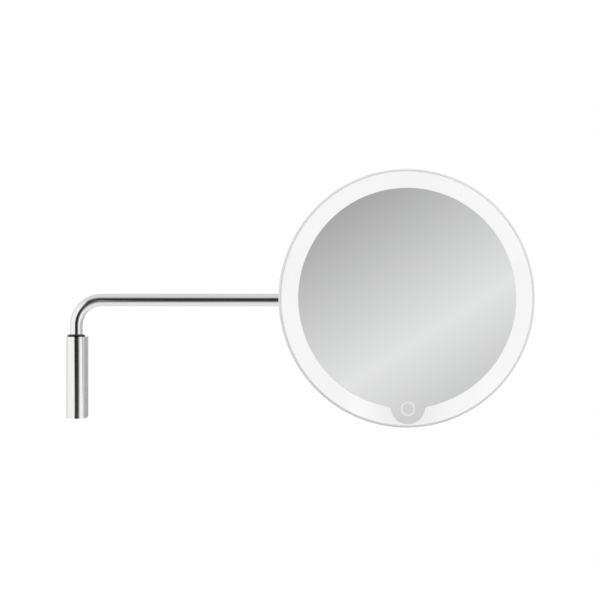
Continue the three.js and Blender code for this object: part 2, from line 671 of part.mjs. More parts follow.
function diffuserRing() {
  const outline = new THREE.Shape(arc(0, 0, HEAD_RADIUS - LIP_WIDTH - GAP, 0, Math.PI * 2, HEAD_SIDES));
  outline.holes.push(new THREE.Path(mirrorOutline(GAP)));
  return slab(outline, GLASS_DEPTH, GLASS_DEPTH + GLASS_THICKNESS);
}

const shellScrewPlaces = corners(SHELL_SCREW_REACH, SHELL_SCREW_REACH);

// Bosses on the tray's back take the shell's screws and the control board.
function reflectorTray() {
  const { floor, floorBack, channel, channelBack, inner, outer, outerBack, wall } = TRAY;
  const pan = turnedInHead([
    [0, floor],
    [inner + wall, floor],
    [inner + wall, channel],
    [outerBack - wall, channel],
    [outer - wall, floor],
    [outer, floor],
    [outerBack, channelBack],
    [inner, channelBack],
    [inner, floorBack],
    [0, floorBack],
  ]);
  const bossEnd = HEAD_THICKNESS - SHELL_THICKNESS - GAP;
  const bosses = shellScrewPlaces.map(([x, z]) =>
    rodInHead(TRAY.bossRadius, floorBack - 1, bossEnd, x, z));
  const pilotHoles = shellScrewPlaces.map(([x, z]) =>
    rodInHead(TRAY.pilotRadius, floorBack + 1, bossEnd + 1, x, z));
  const standoffs = corners(BOARD.halfWidth - 4, BOARD.halfHeight - 3).map(([x, z]) =>
    rodInHead(TRAY.standoffRadius, floorBack - 1, BOARD.near - GAP, x, BOARD.z + z));
  const leadHole = rodInHead(TRAY.leadHoleRadius, channel - 1, channelBack + 1, 0, LED_RADIUS);
  return cut(join(pan, ...bosses, ...standoffs), ...pilotHoles, leadHole);
}

function ledRing() {
  const { halfWidth, near, far } = LED_BOARD;
  const board = turnedInHead(ringProfile(LED_RADIUS - halfWidth, LED_RADIUS + halfWidth, near, far));
  const lights = Array.from({ length: LED_COUNT }, (_, index) => {
    const angle = ((index + 0.5) / LED_COUNT) * Math.PI * 2;
    return block([-LED.halfWidth, -LED.rise, -LED.halfLength], [LED.halfWidth, 0.3, LED.halfLength])
      .translate(0, HEAD_FACE_Y + near, LED_RADIUS)
      .rotateY(angle);
  });
  return join(board, ...lights);
}

function contactSpring() {
  const { near, far, turns, radius, wire, drop } = TOUCH_SPRING;
  class Coil extends THREE.Curve {
    getPoint(t, target = new THREE.Vector3()) {
      const angle = t * turns * Math.PI * 2;
      const y = HEAD_FACE_Y + THREE.MathUtils.lerp(near, far, t);
      return target.set(radius * Math.cos(angle), y, radius * Math.sin(angle) - drop);
    }
  }
  const options = { steps: turns * 7, extrudePath: new Coil(), curveSegments: 2 };
  return new THREE.ExtrudeGeometry(circle(wire), options);
}

function buildFace() {
  place(disk, 'mirror_glass', mirrorGlass(), silvered);
  place(disk, 'diffuser_ring', diffuserRing(), opal);
  const touchBand = ring(
    TOUCH_RADIUS - TOUCH_BAND / 2,
    TOUCH_RADIUS + TOUCH_BAND / 2,
    -GLASS_DEPTH - TOUCH_DEPTH,
    -GLASS_DEPTH,
  );
  place(disk, 'touch_ring', touchBand, opal, [0, HEAD_FACE_Y, -TOUCH_DROP], FACING_ROOM);
  const pad = turnedInHead([[0, PAD.near], [PAD.radius, PAD.near], [PAD.radius, PAD.far], [0, PAD.far]]);
  place(disk, 'mirror_adhesive_pad', pad, foam);
  place(disk, 'reflector_tray', reflectorTray(), whitePlastic);
  place(disk, 'led_ring_board', ledRing(), boardWhite);
  const { radius, near, far } = TOUCH_BOARD;
  const sensorBoard = rodInHead(radius, near, far, 0, -TOUCH_DROP, FINE_SIDES);
  place(disk, 'touch_sensor_board', sensorBoard, boardGreen);
  place(disk, 'touch_contact_spring', contactSpring(), nickel);
}

// --- Head: power ----------------------------------------------------------------------------------

function batteryTray() {
  const { halfWidth, halfHeight, near, wall } = TRAY_BOX;
  const flange = TRAY_FLANGE;
  const outline = roundedRectangle(halfWidth, halfHeight, 2, BATTERY_Z);
  const inner = roundedRectangle(halfWidth - wall, halfHeight - wall, 1, BATTERY_Z);
  const rim = roundedRectangle(flange.halfWidth, flange.halfHeight, flange.corner, DOOR.z);
  const bossNear = flange.near - DOOR_SCREW_BOSS.length;
  const boss = rodInHead(DOOR_SCREW_BOSS.radius, bossNear, flange.far, 0, DOOR_SCREW_Z);
  const hole = rodInHead(DOOR_SCREW_BOSS.holeRadius, bossNear + 1, flange.far + 1, 0, DOOR_SCREW_Z);
  return cut(
    join(slab(outline, near, flange.far, 2), slab(rim, flange.near, flange.far, 3), boss),
    slab(inner, near + wall, flange.far + 1, 2),
    hole,
  );
}

function cell() {
  const half = CELL_LENGTH / 2;
  const shoulder = half - CELL_SHOULDER;
  return turnedAboutX([
    [0, -half],
    [CELL_RADIUS - CELL_EDGE, -half],
    [CELL_RADIUS, -half + CELL_EDGE],
    [CELL_RADIUS, shoulder - CELL_EDGE],
    [CELL_RADIUS - CELL_EDGE, shoulder],
    [CELL_TIP_RADIUS, shoulder],
    [CELL_TIP_RADIUS, half],
    [0, half],
  ], SCREW_SIDES);
}

const cellHeights = Array.from(
  { length: CELL_COUNT },
  (_, index) => CELL_PITCH * ((CELL_COUNT - 1) / 2 - index),
);

// A strip that joins the ends of the cells, with a bump for each.
function contactStrip() {
  const { halfWidth, halfThickness } = CONTACT;
  const reach = cellHeights[0] + halfWidth;
  const strip = block([-halfThickness, -halfWidth, -reach], [halfThickness, halfWidth, reach]);
  const { radius, topRadius, height } = CONTACT_BUMP;
  const bumps = cellHeights.map((z) =>
    turnedAboutX([[0, 0], [radius, 0], [topRadius, height], [0, height]], SCREW_SIDES)
      .translate(0.1, 0, z));
  return join(strip, ...bumps);
}

function controlBoard() {
  const { halfWidth, halfHeight, corner, z, near, far } = BOARD;
  const board = slab(roundedRectangle(halfWidth, halfHeight, corner, z), near, far, 2);
  const parts = BOARD_PARTS.map((part) => block(
    [part.x - part.halfX, HEAD_FACE_Y + far - 0.3, z + part.z - part.halfZ],
    [part.x + part.halfX, HEAD_FACE_Y + far + part.height, z + part.z + part.halfZ],
  ));
  return join(board, ...parts);
}

// An insulated wire along points of [x, depth, z].
function lead(points) {
  const path = new THREE.CatmullRomCurve3(points.map(([x, depth, z]) =>
    new THREE.Vector3(x, HEAD_FACE_Y + depth, z)));
  const options = { steps: 10, extrudePath: path, curveSegments: 3 };
  return new THREE.ExtrudeGeometry(circle(LEAD_RADIUS), options);
}

function buildPower() {
  place(disk, 'battery_tray', batteryTray(), blackPlastic);
  const cellY = HEAD_FACE_Y + CELL_DEPTH;
  cellHeights.forEach((height, index) => {
    const middle = [0, cellY, BATTERY_Z + height];
    const turn = index % 2 ? Math.PI : 0;
    place(disk, `battery_cell_${index + 1}`, cell(), cellWrap, middle, [0, turn, 0]);
  });
  const left = [-CONTACT.x, cellY, BATTERY_Z];
  const right = [CONTACT.x, cellY, BATTERY_Z];
  place(disk, 'battery_contact_left', contactStrip(), nickel, left);
  place(disk, 'battery_contact_right', contactStrip(), nickel, right, [0, Math.PI, 0]);
  place(disk, 'control_board', controlBoard(), boardGreen);
  const powerLead = (start, end) => lead([
    [start, 13, BATTERY_Z + TRAY_BOX.halfHeight + 1],
    [start - 1, 13.5, -8],
    [start - 1, 13.5, 8],
    [end, 14.6, BOARD.z - BOARD.halfHeight + 5],
  ]);
  place(disk, 'battery_lead_positive', powerLead(-19, -16), redWire);
  place(disk, 'battery_lead_negative', powerLead(-22.5, -20), blackWire);
  const lightLead = lead([
    [0, 9.3, LED_RADIUS],
    [0, 12, LED_RADIUS - 1],
    [0, 13.5, 75],
    [0, 13.6, 60],
    [0, 13.8, BOARD.z + 12],
  ]);
  place(disk, 'led_lead', lightLead, blackWire);
}

// --- Head: shell and battery door -----------------------------------------------------------------

function rearShell() {
  // Both faces of the edge are quarter ellipses, from the flat of the back out to the lip.
  const quarter = (lipRadius, backDepth) =>
    Array.from({ length: SHELL_CURVE_STEPS + 1 }, (_, index) => {
      const angle = (index / SHELL_CURVE_STEPS) * (Math.PI / 2);
      return [
        SHELL_FLAT_RADIUS + (lipRadius - SHELL_FLAT_RADIUS) * Math.cos(angle),
        LIP_DEPTH + (backDepth - LIP_DEPTH) * Math.sin(angle),
      ];
    });
  const innerBack = HEAD_THICKNESS - SHELL_THICKNESS;
  const shell = turnedInHead([
    [0, innerBack],
    ...quarter(HEAD_RADIUS - LIP_WIDTH, innerBack).reverse(),
    [HEAD_RADIUS - LIP_WIDTH, 0],
    [HEAD_RADIUS, 0],
    ...quarter(HEAD_RADIUS, HEAD_THICKNESS),
    [0, HEAD_THICKNESS],
  ]);
  const opening = roundedRectangle(
    DOOR.halfWidth + DOOR_CLEARANCE,
    DOOR.halfHeight + DOOR_CLEARANCE,
    DOOR.corner + DOOR_CLEARANCE,
    DOOR.z,
  );
  const screwSeats = shellScrewPlaces.map(([x, z]) =>
    screwSeat(SHELL_SCREW).rotateX(-Math.PI / 2).translate(x, HEAD_BACK_Y, z));
  const bracketHoles = corners(BRACKET_SCREWS.x, BRACKET_SCREWS.z).map(([x, z]) =>
    rodInHead(1.8, innerBack - 1, HEAD_THICKNESS + 1, x, z - HEAD_RISE));
  return cut(shell, slab(opening, innerBack - 1, HEAD_THICKNESS + 1, 4), ...screwSeats, ...bracketHoles);
}

function batteryDoor() {
  const { halfWidth, halfHeight, corner, z } = DOOR;
  const outline = roundedRectangle(halfWidth, halfHeight, corner, z);
  const panel = slab(outline, HEAD_THICKNESS - DOOR_THICKNESS, HEAD_THICKNESS, 4);
  const seat = screwSeat(DOOR_SCREW).rotateX(-Math.PI / 2).translate(0, HEAD_BACK_Y, DOOR_SCREW_Z);
  return cut(panel, seat);
}

// A frame of rubber round the mouth of the battery tray.
function doorSeal() {
  const { halfWidth, halfHeight } = TRAY_BOX;
  const outline = roundedRectangle(halfWidth + SEAL_WIDTH, halfHeight + SEAL_WIDTH, 3, BATTERY_Z);
  outline.holes.push(roundedRectangle(halfWidth + GAP, halfHeight + GAP, 2, BATTERY_Z));
  return slab(outline, TRAY_FLANGE.far + GAP, HEAD_THICKNESS - DOOR_THICKNESS - GAP, 2);
}

function buildShell() {
  place(disk, 'rear_shell', rearShell(), satinSilver);
  shellScrewPlaces.forEach(([x, z], index) => {
    const top = [x, HEAD_BACK_Y, z];
    place(disk, `shell_screw_${index + 1}`, screw(SHELL_SCREW), plainSteel, top, FACING_WALL);
  });
  place(disk, 'battery_door', batteryDoor(), blackPlastic);
  place(disk, 'battery_door_seal', doorSeal(), blackRubber);
  const doorScrewPlace = [0, HEAD_BACK_Y, DOOR_SCREW_Z];
  place(disk, 'battery_door_screw', screw(DOOR_SCREW), plainSteel, doorScrewPlace, FACING_WALL);
}

buildWallMount();
buildArm();
buildKnuckle();
buildHinge();
buildFace();
buildPower();
buildShell();

export default mirror;
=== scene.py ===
"""Looks of the extendable shaving mirror: polished steel arm and mount, lit round head."""

import json
import math

import bmesh
import bpy
from mathutils import Matrix, Vector


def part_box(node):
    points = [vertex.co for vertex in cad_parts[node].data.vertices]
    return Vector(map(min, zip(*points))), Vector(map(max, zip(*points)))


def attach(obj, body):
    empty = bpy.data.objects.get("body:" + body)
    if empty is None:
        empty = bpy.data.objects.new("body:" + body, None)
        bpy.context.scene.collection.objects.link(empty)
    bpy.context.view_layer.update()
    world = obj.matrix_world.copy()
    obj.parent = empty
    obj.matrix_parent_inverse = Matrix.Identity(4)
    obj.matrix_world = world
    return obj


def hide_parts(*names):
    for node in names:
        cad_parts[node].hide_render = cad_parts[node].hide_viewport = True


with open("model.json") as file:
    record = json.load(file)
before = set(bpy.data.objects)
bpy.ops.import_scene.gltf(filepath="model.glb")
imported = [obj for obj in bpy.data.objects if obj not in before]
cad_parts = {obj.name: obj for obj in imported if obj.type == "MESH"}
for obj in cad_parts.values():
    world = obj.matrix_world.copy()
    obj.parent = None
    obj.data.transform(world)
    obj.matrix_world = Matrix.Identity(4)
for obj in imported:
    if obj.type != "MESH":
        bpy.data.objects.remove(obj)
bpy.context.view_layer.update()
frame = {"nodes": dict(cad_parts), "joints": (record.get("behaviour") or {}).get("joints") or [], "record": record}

MM = 0.001
SMOOTH_ANGLE = math.radians(32)  # faces that meet at less than this are shaded as one surface
MERGE_DISTANCE = 1e-7  # points closer than this are one point
ORIGIN = Matrix.Identity(4)
JOINTS = {joint["name"]: joint for joint in frame["joints"]}


# --- Where things are, from the frame --------------------------------------------------------------

def centre_of(node):
    """The middle of a node's box."""
    low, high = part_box(node)
    return (low + high) / 2


PIN = Vector(JOINTS["head_turn"]["pos_m"])
TUBE_RADIUS = (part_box("arm_tube")[1].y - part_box("arm_tube")[0].y) / 2
SWING_AXIS = Vector(JOINTS["arm_swing"]["pos_m"])
ARM_Z = PIN.z

# The head rests turned about the pin. The touch ring is straight in front of the pin in the head's
# own frame, so the line between them gives the turn.
FORWARD = centre_of("touch_ring") - PIN
HEAD_YAW = math.atan2(FORWARD.x, -FORWARD.y)
HEAD_CENTRE_Z = centre_of("rear_shell").z
HEAD = Matrix.Translation((PIN.x, PIN.y, HEAD_CENTRE_Z)) @ Matrix.Rotation(HEAD_YAW, 4, "Z")
HINGE = Matrix.Translation(PIN) @ Matrix.Rotation(HEAD_YAW, 4, "Z")

# Turns for a piece made along Z: its Z then points at the wall, into the room, or down.
TO_WALL = Matrix.Rotation(-math.pi / 2, 4, "X")
TO_ROOM = Matrix.Rotation(math.pi / 2, 4, "X")
DOWN = Matrix.Rotation(math.pi, 4, "X")


def local_box(node, place):
    """A node's lowest and highest corners in the frame of a place."""
    inverse = place.inverted()
    points = [inverse @ vertex.co for vertex in frame["nodes"][node].data.vertices]
    low = Vector(min(point[axis] for point in points) for axis in range(3))
    high = Vector(max(point[axis] for point in points) for axis in range(3))
    return low, high


def inner_radius(node, place, centre):
    """The inner radius of a ring whose axis is a place's Y."""
    inverse = place.inverted()
    points = [inverse @ vertex.co - centre for vertex in frame["nodes"][node].data.vertices]
    return min(math.hypot(point.x, point.z) for point in points)


# --- Mesh tools ------------------------------------------------------------------------------------

def finish_mesh(name, mesh):
    """A linked object for a mesh, with its faces pointing out and shaded smooth up to an angle."""
    sheet = bmesh.new()
    sheet.from_mesh(mesh)
    bmesh.ops.remove_doubles(sheet, verts=sheet.verts, dist=MERGE_DISTANCE)
    bmesh.ops.recalc_face_normals(sheet, faces=sheet.faces)
    sheet.to_mesh(mesh)
    sheet.free()
    mesh.shade_smooth()
    mesh.set_sharp_from_angle(angle=SMOOTH_ANGLE)
    piece = bpy.data.objects.new(name, mesh)
    bpy.context.scene.collection.objects.link(piece)
    return piece


def from_faces(name, vertices, faces):
    """An object made of vertices and faces."""
    mesh = bpy.data.meshes.new(name)
    mesh.from_pydata([tuple(vertex) for vertex in vertices], [], faces)
    return finish_mesh(name, mesh)


LARGEST_ROUND = 0.45  # of the shorter side beside a corner


def rounded(profile, radius, steps=4):
    """A closed profile with rounded corners. A corner is (r, h), or (r, h, its own radius)."""
    result = []
    count = len(profile)
    for index, corner in enumerate(profile):
        size = corner[2] if len(corner) > 2 else radius
        here = Vector(corner[:2])
        before = Vector(profile[index - 1][:2]) - here
        after = Vector(profile[(index + 1) % count][:2]) - here
        size = min(size, LARGEST_ROUND * min(before.length, after.length))
        if size <= 0:
            result.append(here)
            continue
        start = here + before.normalized() * size
        end = here + after.normalized() * size
        for step in range(steps + 1):
            t = step / steps
            result.append(start * (1 - t) ** 2 + here * (2 * t * (1 - t)) + end * t ** 2)
    return result


def turned(name, profile, sides=96, place=ORIGIN, radius=0.15 * MM, steps=4):
    """Turns a closed profile about a place's Z axis. A point on the axis becomes one vertex."""
    points = rounded(profile, radius, steps)
    vertices = []
    rows = []
    for r, h in points:
        if r < MERGE_DISTANCE:
            rows.append([len(vertices)] * sides)
            vertices.append(place @ Vector((0, 0, h)))
            continue
        rows.append(list(range(len(vertices), len(vertices) + sides)))
        for side in range(sides):
            angle = math.tau * side / sides
            vertices.append(place @ Vector((r * math.cos(angle), r * math.sin(angle), h)))
    faces = []
    for row, next_row in zip(rows, rows[1:] + rows[:1]):
        if row[0] == row[1] and next_row[0] == next_row[1]:
            continue
        for side in range(sides):
            after = (side + 1) % sides
            corners = [row[side], row[after], next_row[after], next_row[side]]
            faces.append(list(dict.fromkeys(corners)))
    return from_faces(name, vertices, faces)


def prism(name, outline, bottom, top, place=ORIGIN, bevel=0.0):
    """A closed (x, y) outline raised from bottom to top, with its two rims bevelled."""
    shape = bmesh.new()
    low = [shape.verts.new((x, y, bottom)) for x, y in outline]
    high = [shape.verts.new((x, y, top)) for x, y in outline]
    shape.faces.new(list(reversed(low)))
    shape.faces.new(high)
    count = len(outline)
    for index in range(count):
        after = (index + 1) % count
        shape.faces.new([low[index], low[after], high[after], high[index]])
    if bevel > 0:
        rims = [edge for edge in shape.edges if edge.verts[0].co.z == edge.verts[1].co.z]
        bmesh.ops.bevel(shape, geom=rims, offset=bevel, segments=3, affect="EDGES", profile=0.5)
    shape.transform(place)
    mesh = bpy.data.meshes.new(name)
    shape.to_mesh(mesh)
    shape.free()
    return finish_mesh(name, mesh)


def arc(x, y, radius, start, end, steps):
    """Points along an arc about (x, y), between two angles in degrees."""
    angles = [math.radians(start + (end - start) * step / steps) for step in range(steps + 1)]
    return [(x + radius * math.cos(angle), y + radius * math.sin(angle)) for angle in angles]


def rounded_rectangle(half_width, half_height, corner, centre_y=0.0, steps=8):
    """The outline of a rectangle with round corners, centred on x = 0."""
    right = half_width - corner
    top = centre_y + half_height - corner
    bottom = centre_y - half_height + corner
    outline = arc(right, top, corner, 0, 90, steps) + arc(-right, top, corner, 90, 180, steps)
    outline += arc(-right, bottom, corner, 180, 270, steps) + arc(right, bottom, corner, 270, 360, steps)
    return outline


def combine(piece, tools, operation="DIFFERENCE"):
    """Cuts tools from a piece, or joins them to it, and removes the tools."""
    for tool in tools:
        modifier = piece.modifiers.new("combine", "BOOLEAN")
        modifier.operation = operation
        modifier.solver = "EXACT"
        modifier.object = tool
    bpy.context.view_layer.update()
    evaluated = piece.evaluated_get(bpy.context.evaluated_depsgraph_get())
    mesh = bpy.data.meshes.new_from_object(evaluated)
    piece.modifiers.clear()
    piece.data = mesh
    for tool in tools:
        bpy.data.objects.remove(tool)
    mesh.shade_smooth()
    mesh.set_sharp_from_angle(angle=SMOOTH_ANGLE)
    return piece


def settle(piece, material, body, slot, *nodes):
    """Gives a piece its material and body, and lets it stand for CAD nodes. Its slot is not used."""
    piece.data.materials.clear()
    piece.data.materials.append(material)
    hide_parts(*nodes)
    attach(piece, body)


# --- Materials -------------------------------------------------------------------------------------

METAL_CLOUDS = 35  # noise scale of a metal's broad unevenness, for metres
PLASTIC_CLOUDS = 60


class Nodes:
    """A material's node tree, with short calls for the nodes that the finishes here share."""

    def __init__(self, name):
        self.material = bpy.data.materials.new(name)
        self.material.use_nodes = True
        self.tree = self.material.node_tree
        self.shader = self.tree.nodes["Principled BSDF"]

    def set(self, **values):
        """Sets the shader's own sockets, named with underscores for spaces."""
        for socket, value in values.items():
            self.shader.inputs[socket.replace("_", " ")].default_value = value
        return self

    def link(self, output, socket):
        self.tree.links.new(output, socket)

    def coordinates(self, scale=(1, 1, 1), attribute=None):
        """Object coordinates, or a mesh attribute, scaled by axis."""
        if attribute:
            source = self.tree.nodes.new("ShaderNodeAttribute")
            source.attribute_name = attribute
            output = source.outputs["Vector"]
        else:
            output = self.tree.nodes.new("ShaderNodeTexCoord").outputs["Object"]
        mapping = self.tree.nodes.new("ShaderNodeMapping")
        mapping.inputs["Scale"].default_value = scale
        self.link(output, mapping.inputs["Vector"])
        return mapping.outputs["Vector"]

    def noise(self, vector, scale, detail=3.0, roughness=0.55):
        node = self.tree.nodes.new("ShaderNodeTexNoise")
        node.inputs["Scale"].default_value = scale
        node.inputs["Detail"].default_value = detail
        node.inputs["Roughness"].default_value = roughness
        self.link(vector, node.inputs["Vector"])
        return node.outputs["Fac"]

    def spread(self, value, low, high, start=0.3, end=0.7):
        """Maps a noise value onto the range from low to high."""
        node = self.tree.nodes.new("ShaderNodeMapRange")
        node.inputs["From Min"].default_value = start
        node.inputs["From Max"].default_value = end
        node.inputs["To Min"].default_value = low
        node.inputs["To Max"].default_value = high
        self.link(value, node.inputs["Value"])
        return node.outputs["Result"]

    def blend(self, value, first, second):
        """Goes from one colour to another as a value goes from 0 to 1."""
        node = self.tree.nodes.new("ShaderNodeMix")
        node.data_type = "RGBA"
        node.inputs["A"].default_value = (*first, 1)
        node.inputs["B"].default_value = (*second, 1)
        self.link(value, node.inputs["Factor"])
        return node.outputs["Result"]

    def bump(self, height, strength, distance):
        node = self.tree.nodes.new("ShaderNodeBump")
        node.inputs["Strength"].default_value = strength
        node.inputs["Distance"].default_value = distance
        self.link(height, node.inputs["Height"])
        self.link(node.outputs["Normal"], self.shader.inputs["Normal"])

    def roughness(self, value):
        self.link(value, self.shader.inputs["Roughness"])

    def colour(self, value):
        self.link(value, self.shader.inputs["Base Color"])


def shade(colour, factor):
    """A colour made lighter or darker."""
    return tuple(min(1.0, channel * factor) for channel in colour)


def metal(name, colour, low, high, grain=(1, 1, 1), attribute=None, grain_scale=900, depth=0.02):
    """Metal with a fine directional grain and a broad, faint unevenness of its colour. Its
    roughness runs from low to high."""
    nodes = Nodes(name)
    nodes.set(Metallic=1.0)
    fine = nodes.noise(nodes.coordinates(grain, attribute), grain_scale, 4.0, 0.6)
    broad = nodes.noise(nodes.coordinates(), METAL_CLOUDS, 2.0)
    nodes.roughness(nodes.spread(fine, low, high))
    nodes.colour(nodes.blend(broad, shade(colour, 0.97), shade(colour, 1.02)))
    nodes.bump(fine, depth, 0.2 * MM)
    return nodes.material


def plastic(name, colour, low, high, grain_scale=1400, depth=0.12, specular=0.5):
    """Moulded plastic with a fine spark-eroded grain. Its roughness runs from low to high."""
    nodes = Nodes(name)
    nodes.set(Specular_IOR_Level=specular)
    fine = nodes.noise(nodes.coordinates(), grain_scale, 3.0)
    broad = nodes.noise(nodes.coordinates(), PLASTIC_CLOUDS, 2.0)
    nodes.roughness(nodes.spread(fine, low, high))
    nodes.colour(nodes.blend(broad, shade(colour, 0.92), shade(colour, 1.05)))
    nodes.bump(fine, depth, 0.1 * MM)
    return nodes.material


DIM_START = 9 * MM  # the light ring glows least this close to the touch ring's middle
DIM_END = 34 * MM  # and fully from here on


def opal_plastic(name, white, glow, dim_place=None, dim_glow=0.0):
    """Opal acrylic, satin on top and glowing from behind, less so close to a place with no light."""
    colour = (white, white, white)
    nodes = Nodes(name)
    nodes.set(Specular_IOR_Level=0.3, Emission_Color=(1.0, 1.0, 1.0, 1.0))
    vector = nodes.coordinates()
    cloud = nodes.noise(vector, 18, 2.0)
    fine = nodes.noise(vector, 2200, 2.0)
    nodes.colour(nodes.blend(cloud, colour, shade(colour, 1.025)))
    strength = nodes.spread(cloud, glow * 0.92, glow * 1.08)
    if dim_place:
        distance = nodes.tree.nodes.new("ShaderNodeVectorMath")
        distance.operation = "DISTANCE"
        distance.inputs[1].default_value = dim_place
        nodes.link(vector, distance.inputs[0])
        share = nodes.spread(distance.outputs["Value"], dim_glow / glow, 1, DIM_START, DIM_END)
        product = nodes.tree.nodes.new("ShaderNodeMath")
        product.operation = "MULTIPLY"
        nodes.link(strength, product.inputs[0])
        nodes.link(share, product.inputs[1])
        strength = product.outputs[0]
    nodes.link(strength, nodes.shader.inputs["Emission Strength"])
    nodes.roughness(nodes.spread(fine, 0.38, 0.5))
    nodes.bump(fine, 0.05, 0.05 * MM)
    return nodes.material


def satin_silver_material():
    """Pale satin silver, spun in fine circles and clear coated, so that it stays light all round."""
    nodes = Nodes("satin_silver")
    nodes.set(Metallic=0.2, Specular_IOR_Level=0.4)
    spun = nodes.noise(nodes.coordinates((3, 3, 2600), "grain"), 1.0, 4.0, 0.6)
    broad = nodes.noise(nodes.coordinates(), METAL_CLOUDS, 2.0)
    nodes.roughness(nodes.spread(spun, 0.4, 0.5))
    nodes.colour(nodes.blend(broad, (0.84, 0.845, 0.85), (0.87, 0.875, 0.88)))
    nodes.bump(spun, 0.08, 0.2 * MM)
    return nodes.material


def silver_material():
    """Silvered glass: a perfect mirror, but for the faintest unevenness of its silver."""
    nodes = Nodes("silvered_glass")
    nodes.set(Metallic=1.0)
    haze = nodes.noise(nodes.coordinates(), 25, 2.0)
    nodes.roughness(nodes.spread(haze, 0.0, 0.002))
    nodes.colour(nodes.blend(haze, (0.895, 0.90, 0.90), (0.905, 0.91, 0.91)))
    return nodes.material


STEEL = (0.80, 0.80, 0.79)

polished_steel = metal("polished_steel", STEEL, 0.09, 0.15, grain_scale=700, depth=0.012)
drawn_steel = metal("drawn_steel", STEEL, 0.08, 0.15, (6, 260, 1), "grain", grain_scale=1.0, depth=0.015)
satin_silver = satin_silver_material()
plain_steel = metal("plain_steel", (0.52, 0.53, 0.54), 0.22, 0.38, grain_scale=1200, depth=0.06)
turned_brass = metal("turned_brass", (0.72, 0.53, 0.24), 0.2, 0.34, grain_scale=1200, depth=0.05)
nickel = metal("nickel", (0.64, 0.62, 0.56), 0.2, 0.32, grain_scale=1500, depth=0.04)
black_plastic = plastic("black_plastic", (0.018, 0.018, 0.02), 0.38, 0.52)
gloss_black = plastic("gloss_black", (0.004, 0.004, 0.005), 0.05, 0.09, 900, 0.01)
white_plastic = plastic("white_plastic", (0.8, 0.8, 0.79), 0.4, 0.55)
black_rubber = plastic("black_rubber", (0.016, 0.016, 0.017), 0.7, 0.85, specular=0.3)
circuit_green = plastic("circuit_green", (0.02, 0.12, 0.055), 0.25, 0.4, 500, 0.05)
circuit_white = plastic("circuit_white", (0.75, 0.76, 0.74), 0.3, 0.45, 500, 0.05)
cell_wrap = plastic("cell_wrap", (0.05, 0.12, 0.22), 0.2, 0.3, 400, 0.04)
red_wire = plastic("red_wire", (0.32, 0.015, 0.012), 0.35, 0.5)
black_wire = plastic("black_wire", (0.012, 0.012, 0.013), 0.35, 0.5)
opal = opal_plastic("opal_acrylic", 0.80, 0.25, centre_of("touch_ring"), 0.16)
opal_button = opal_plastic("opal_button", 0.76, 0.14)
silvered = silver_material()

SLOT_MATERIALS = {
    "polished_steel": polished_steel,
    "satin_silver": satin_silver,
    "plain_steel": plain_steel,
    "brass": turned_brass,
    "gloss_black": gloss_black,
    "black_plastic": black_plastic,
    "white_plastic": white_plastic,
    "opal_diffuser": opal,
    "mirror_glass": silvered,
    "black_rubber": black_rubber,
    "circuit_board": circuit_green,
    "light_board": circuit_white,
    "contact_metal": nickel,
    "cell_wrap": cell_wrap,
    "red_wire": red_wire,
    "black_wire": black_wire,
}


def finish_cad_nodes():
    """Every CAD node takes the material of its slot. Some are then hidden by finer pieces."""
    for entry in frame["record"]["subparts"]:
        node = frame["nodes"][entry["node"]]
        node.data.materials.clear()
        node.data.materials.append(SLOT_MATERIALS[entry["material_slot"]])
        node.data.shade_smooth()
        node.data.set_sharp_from_angle(angle=SMOOTH_ANGLE)


# --- Grain directions ------------------------------------------------------------------------------

ON_AXIS = 1e-6  # a point nearer the axis than this has no direction of its own


def grain_about_axis(piece, place):
    """Stores the direction round a place's Z axis and the distance along the surface from it."""
    inverse = place.inverted()
    attribute = piece.data.attributes.new("grain", "FLOAT_VECTOR", "POINT")
    for index, vertex in enumerate(piece.data.vertices):
        local = inverse @ vertex.co
        radius = math.hypot(local.x, local.y)
        around = (local.x / radius, local.y / radius) if radius > ON_AXIS else (1, 0)
        attribute.data[index].vector = (*around, radius + local.z)


# --- Wall mount ------------------------------------------------------------------------------------

SPAN = 1 * MM  # how far a cutter runs past what it cuts
CUT_GAP = 0.2 * MM  # room left round what stands in the housing


def cylinder(radius, bottom, top, place=ORIGIN, sides=64):
    """A round cutter."""
    return prism("cutter", arc(0, 0, radius, 0, 360, sides)[:-1], bottom, top, place)


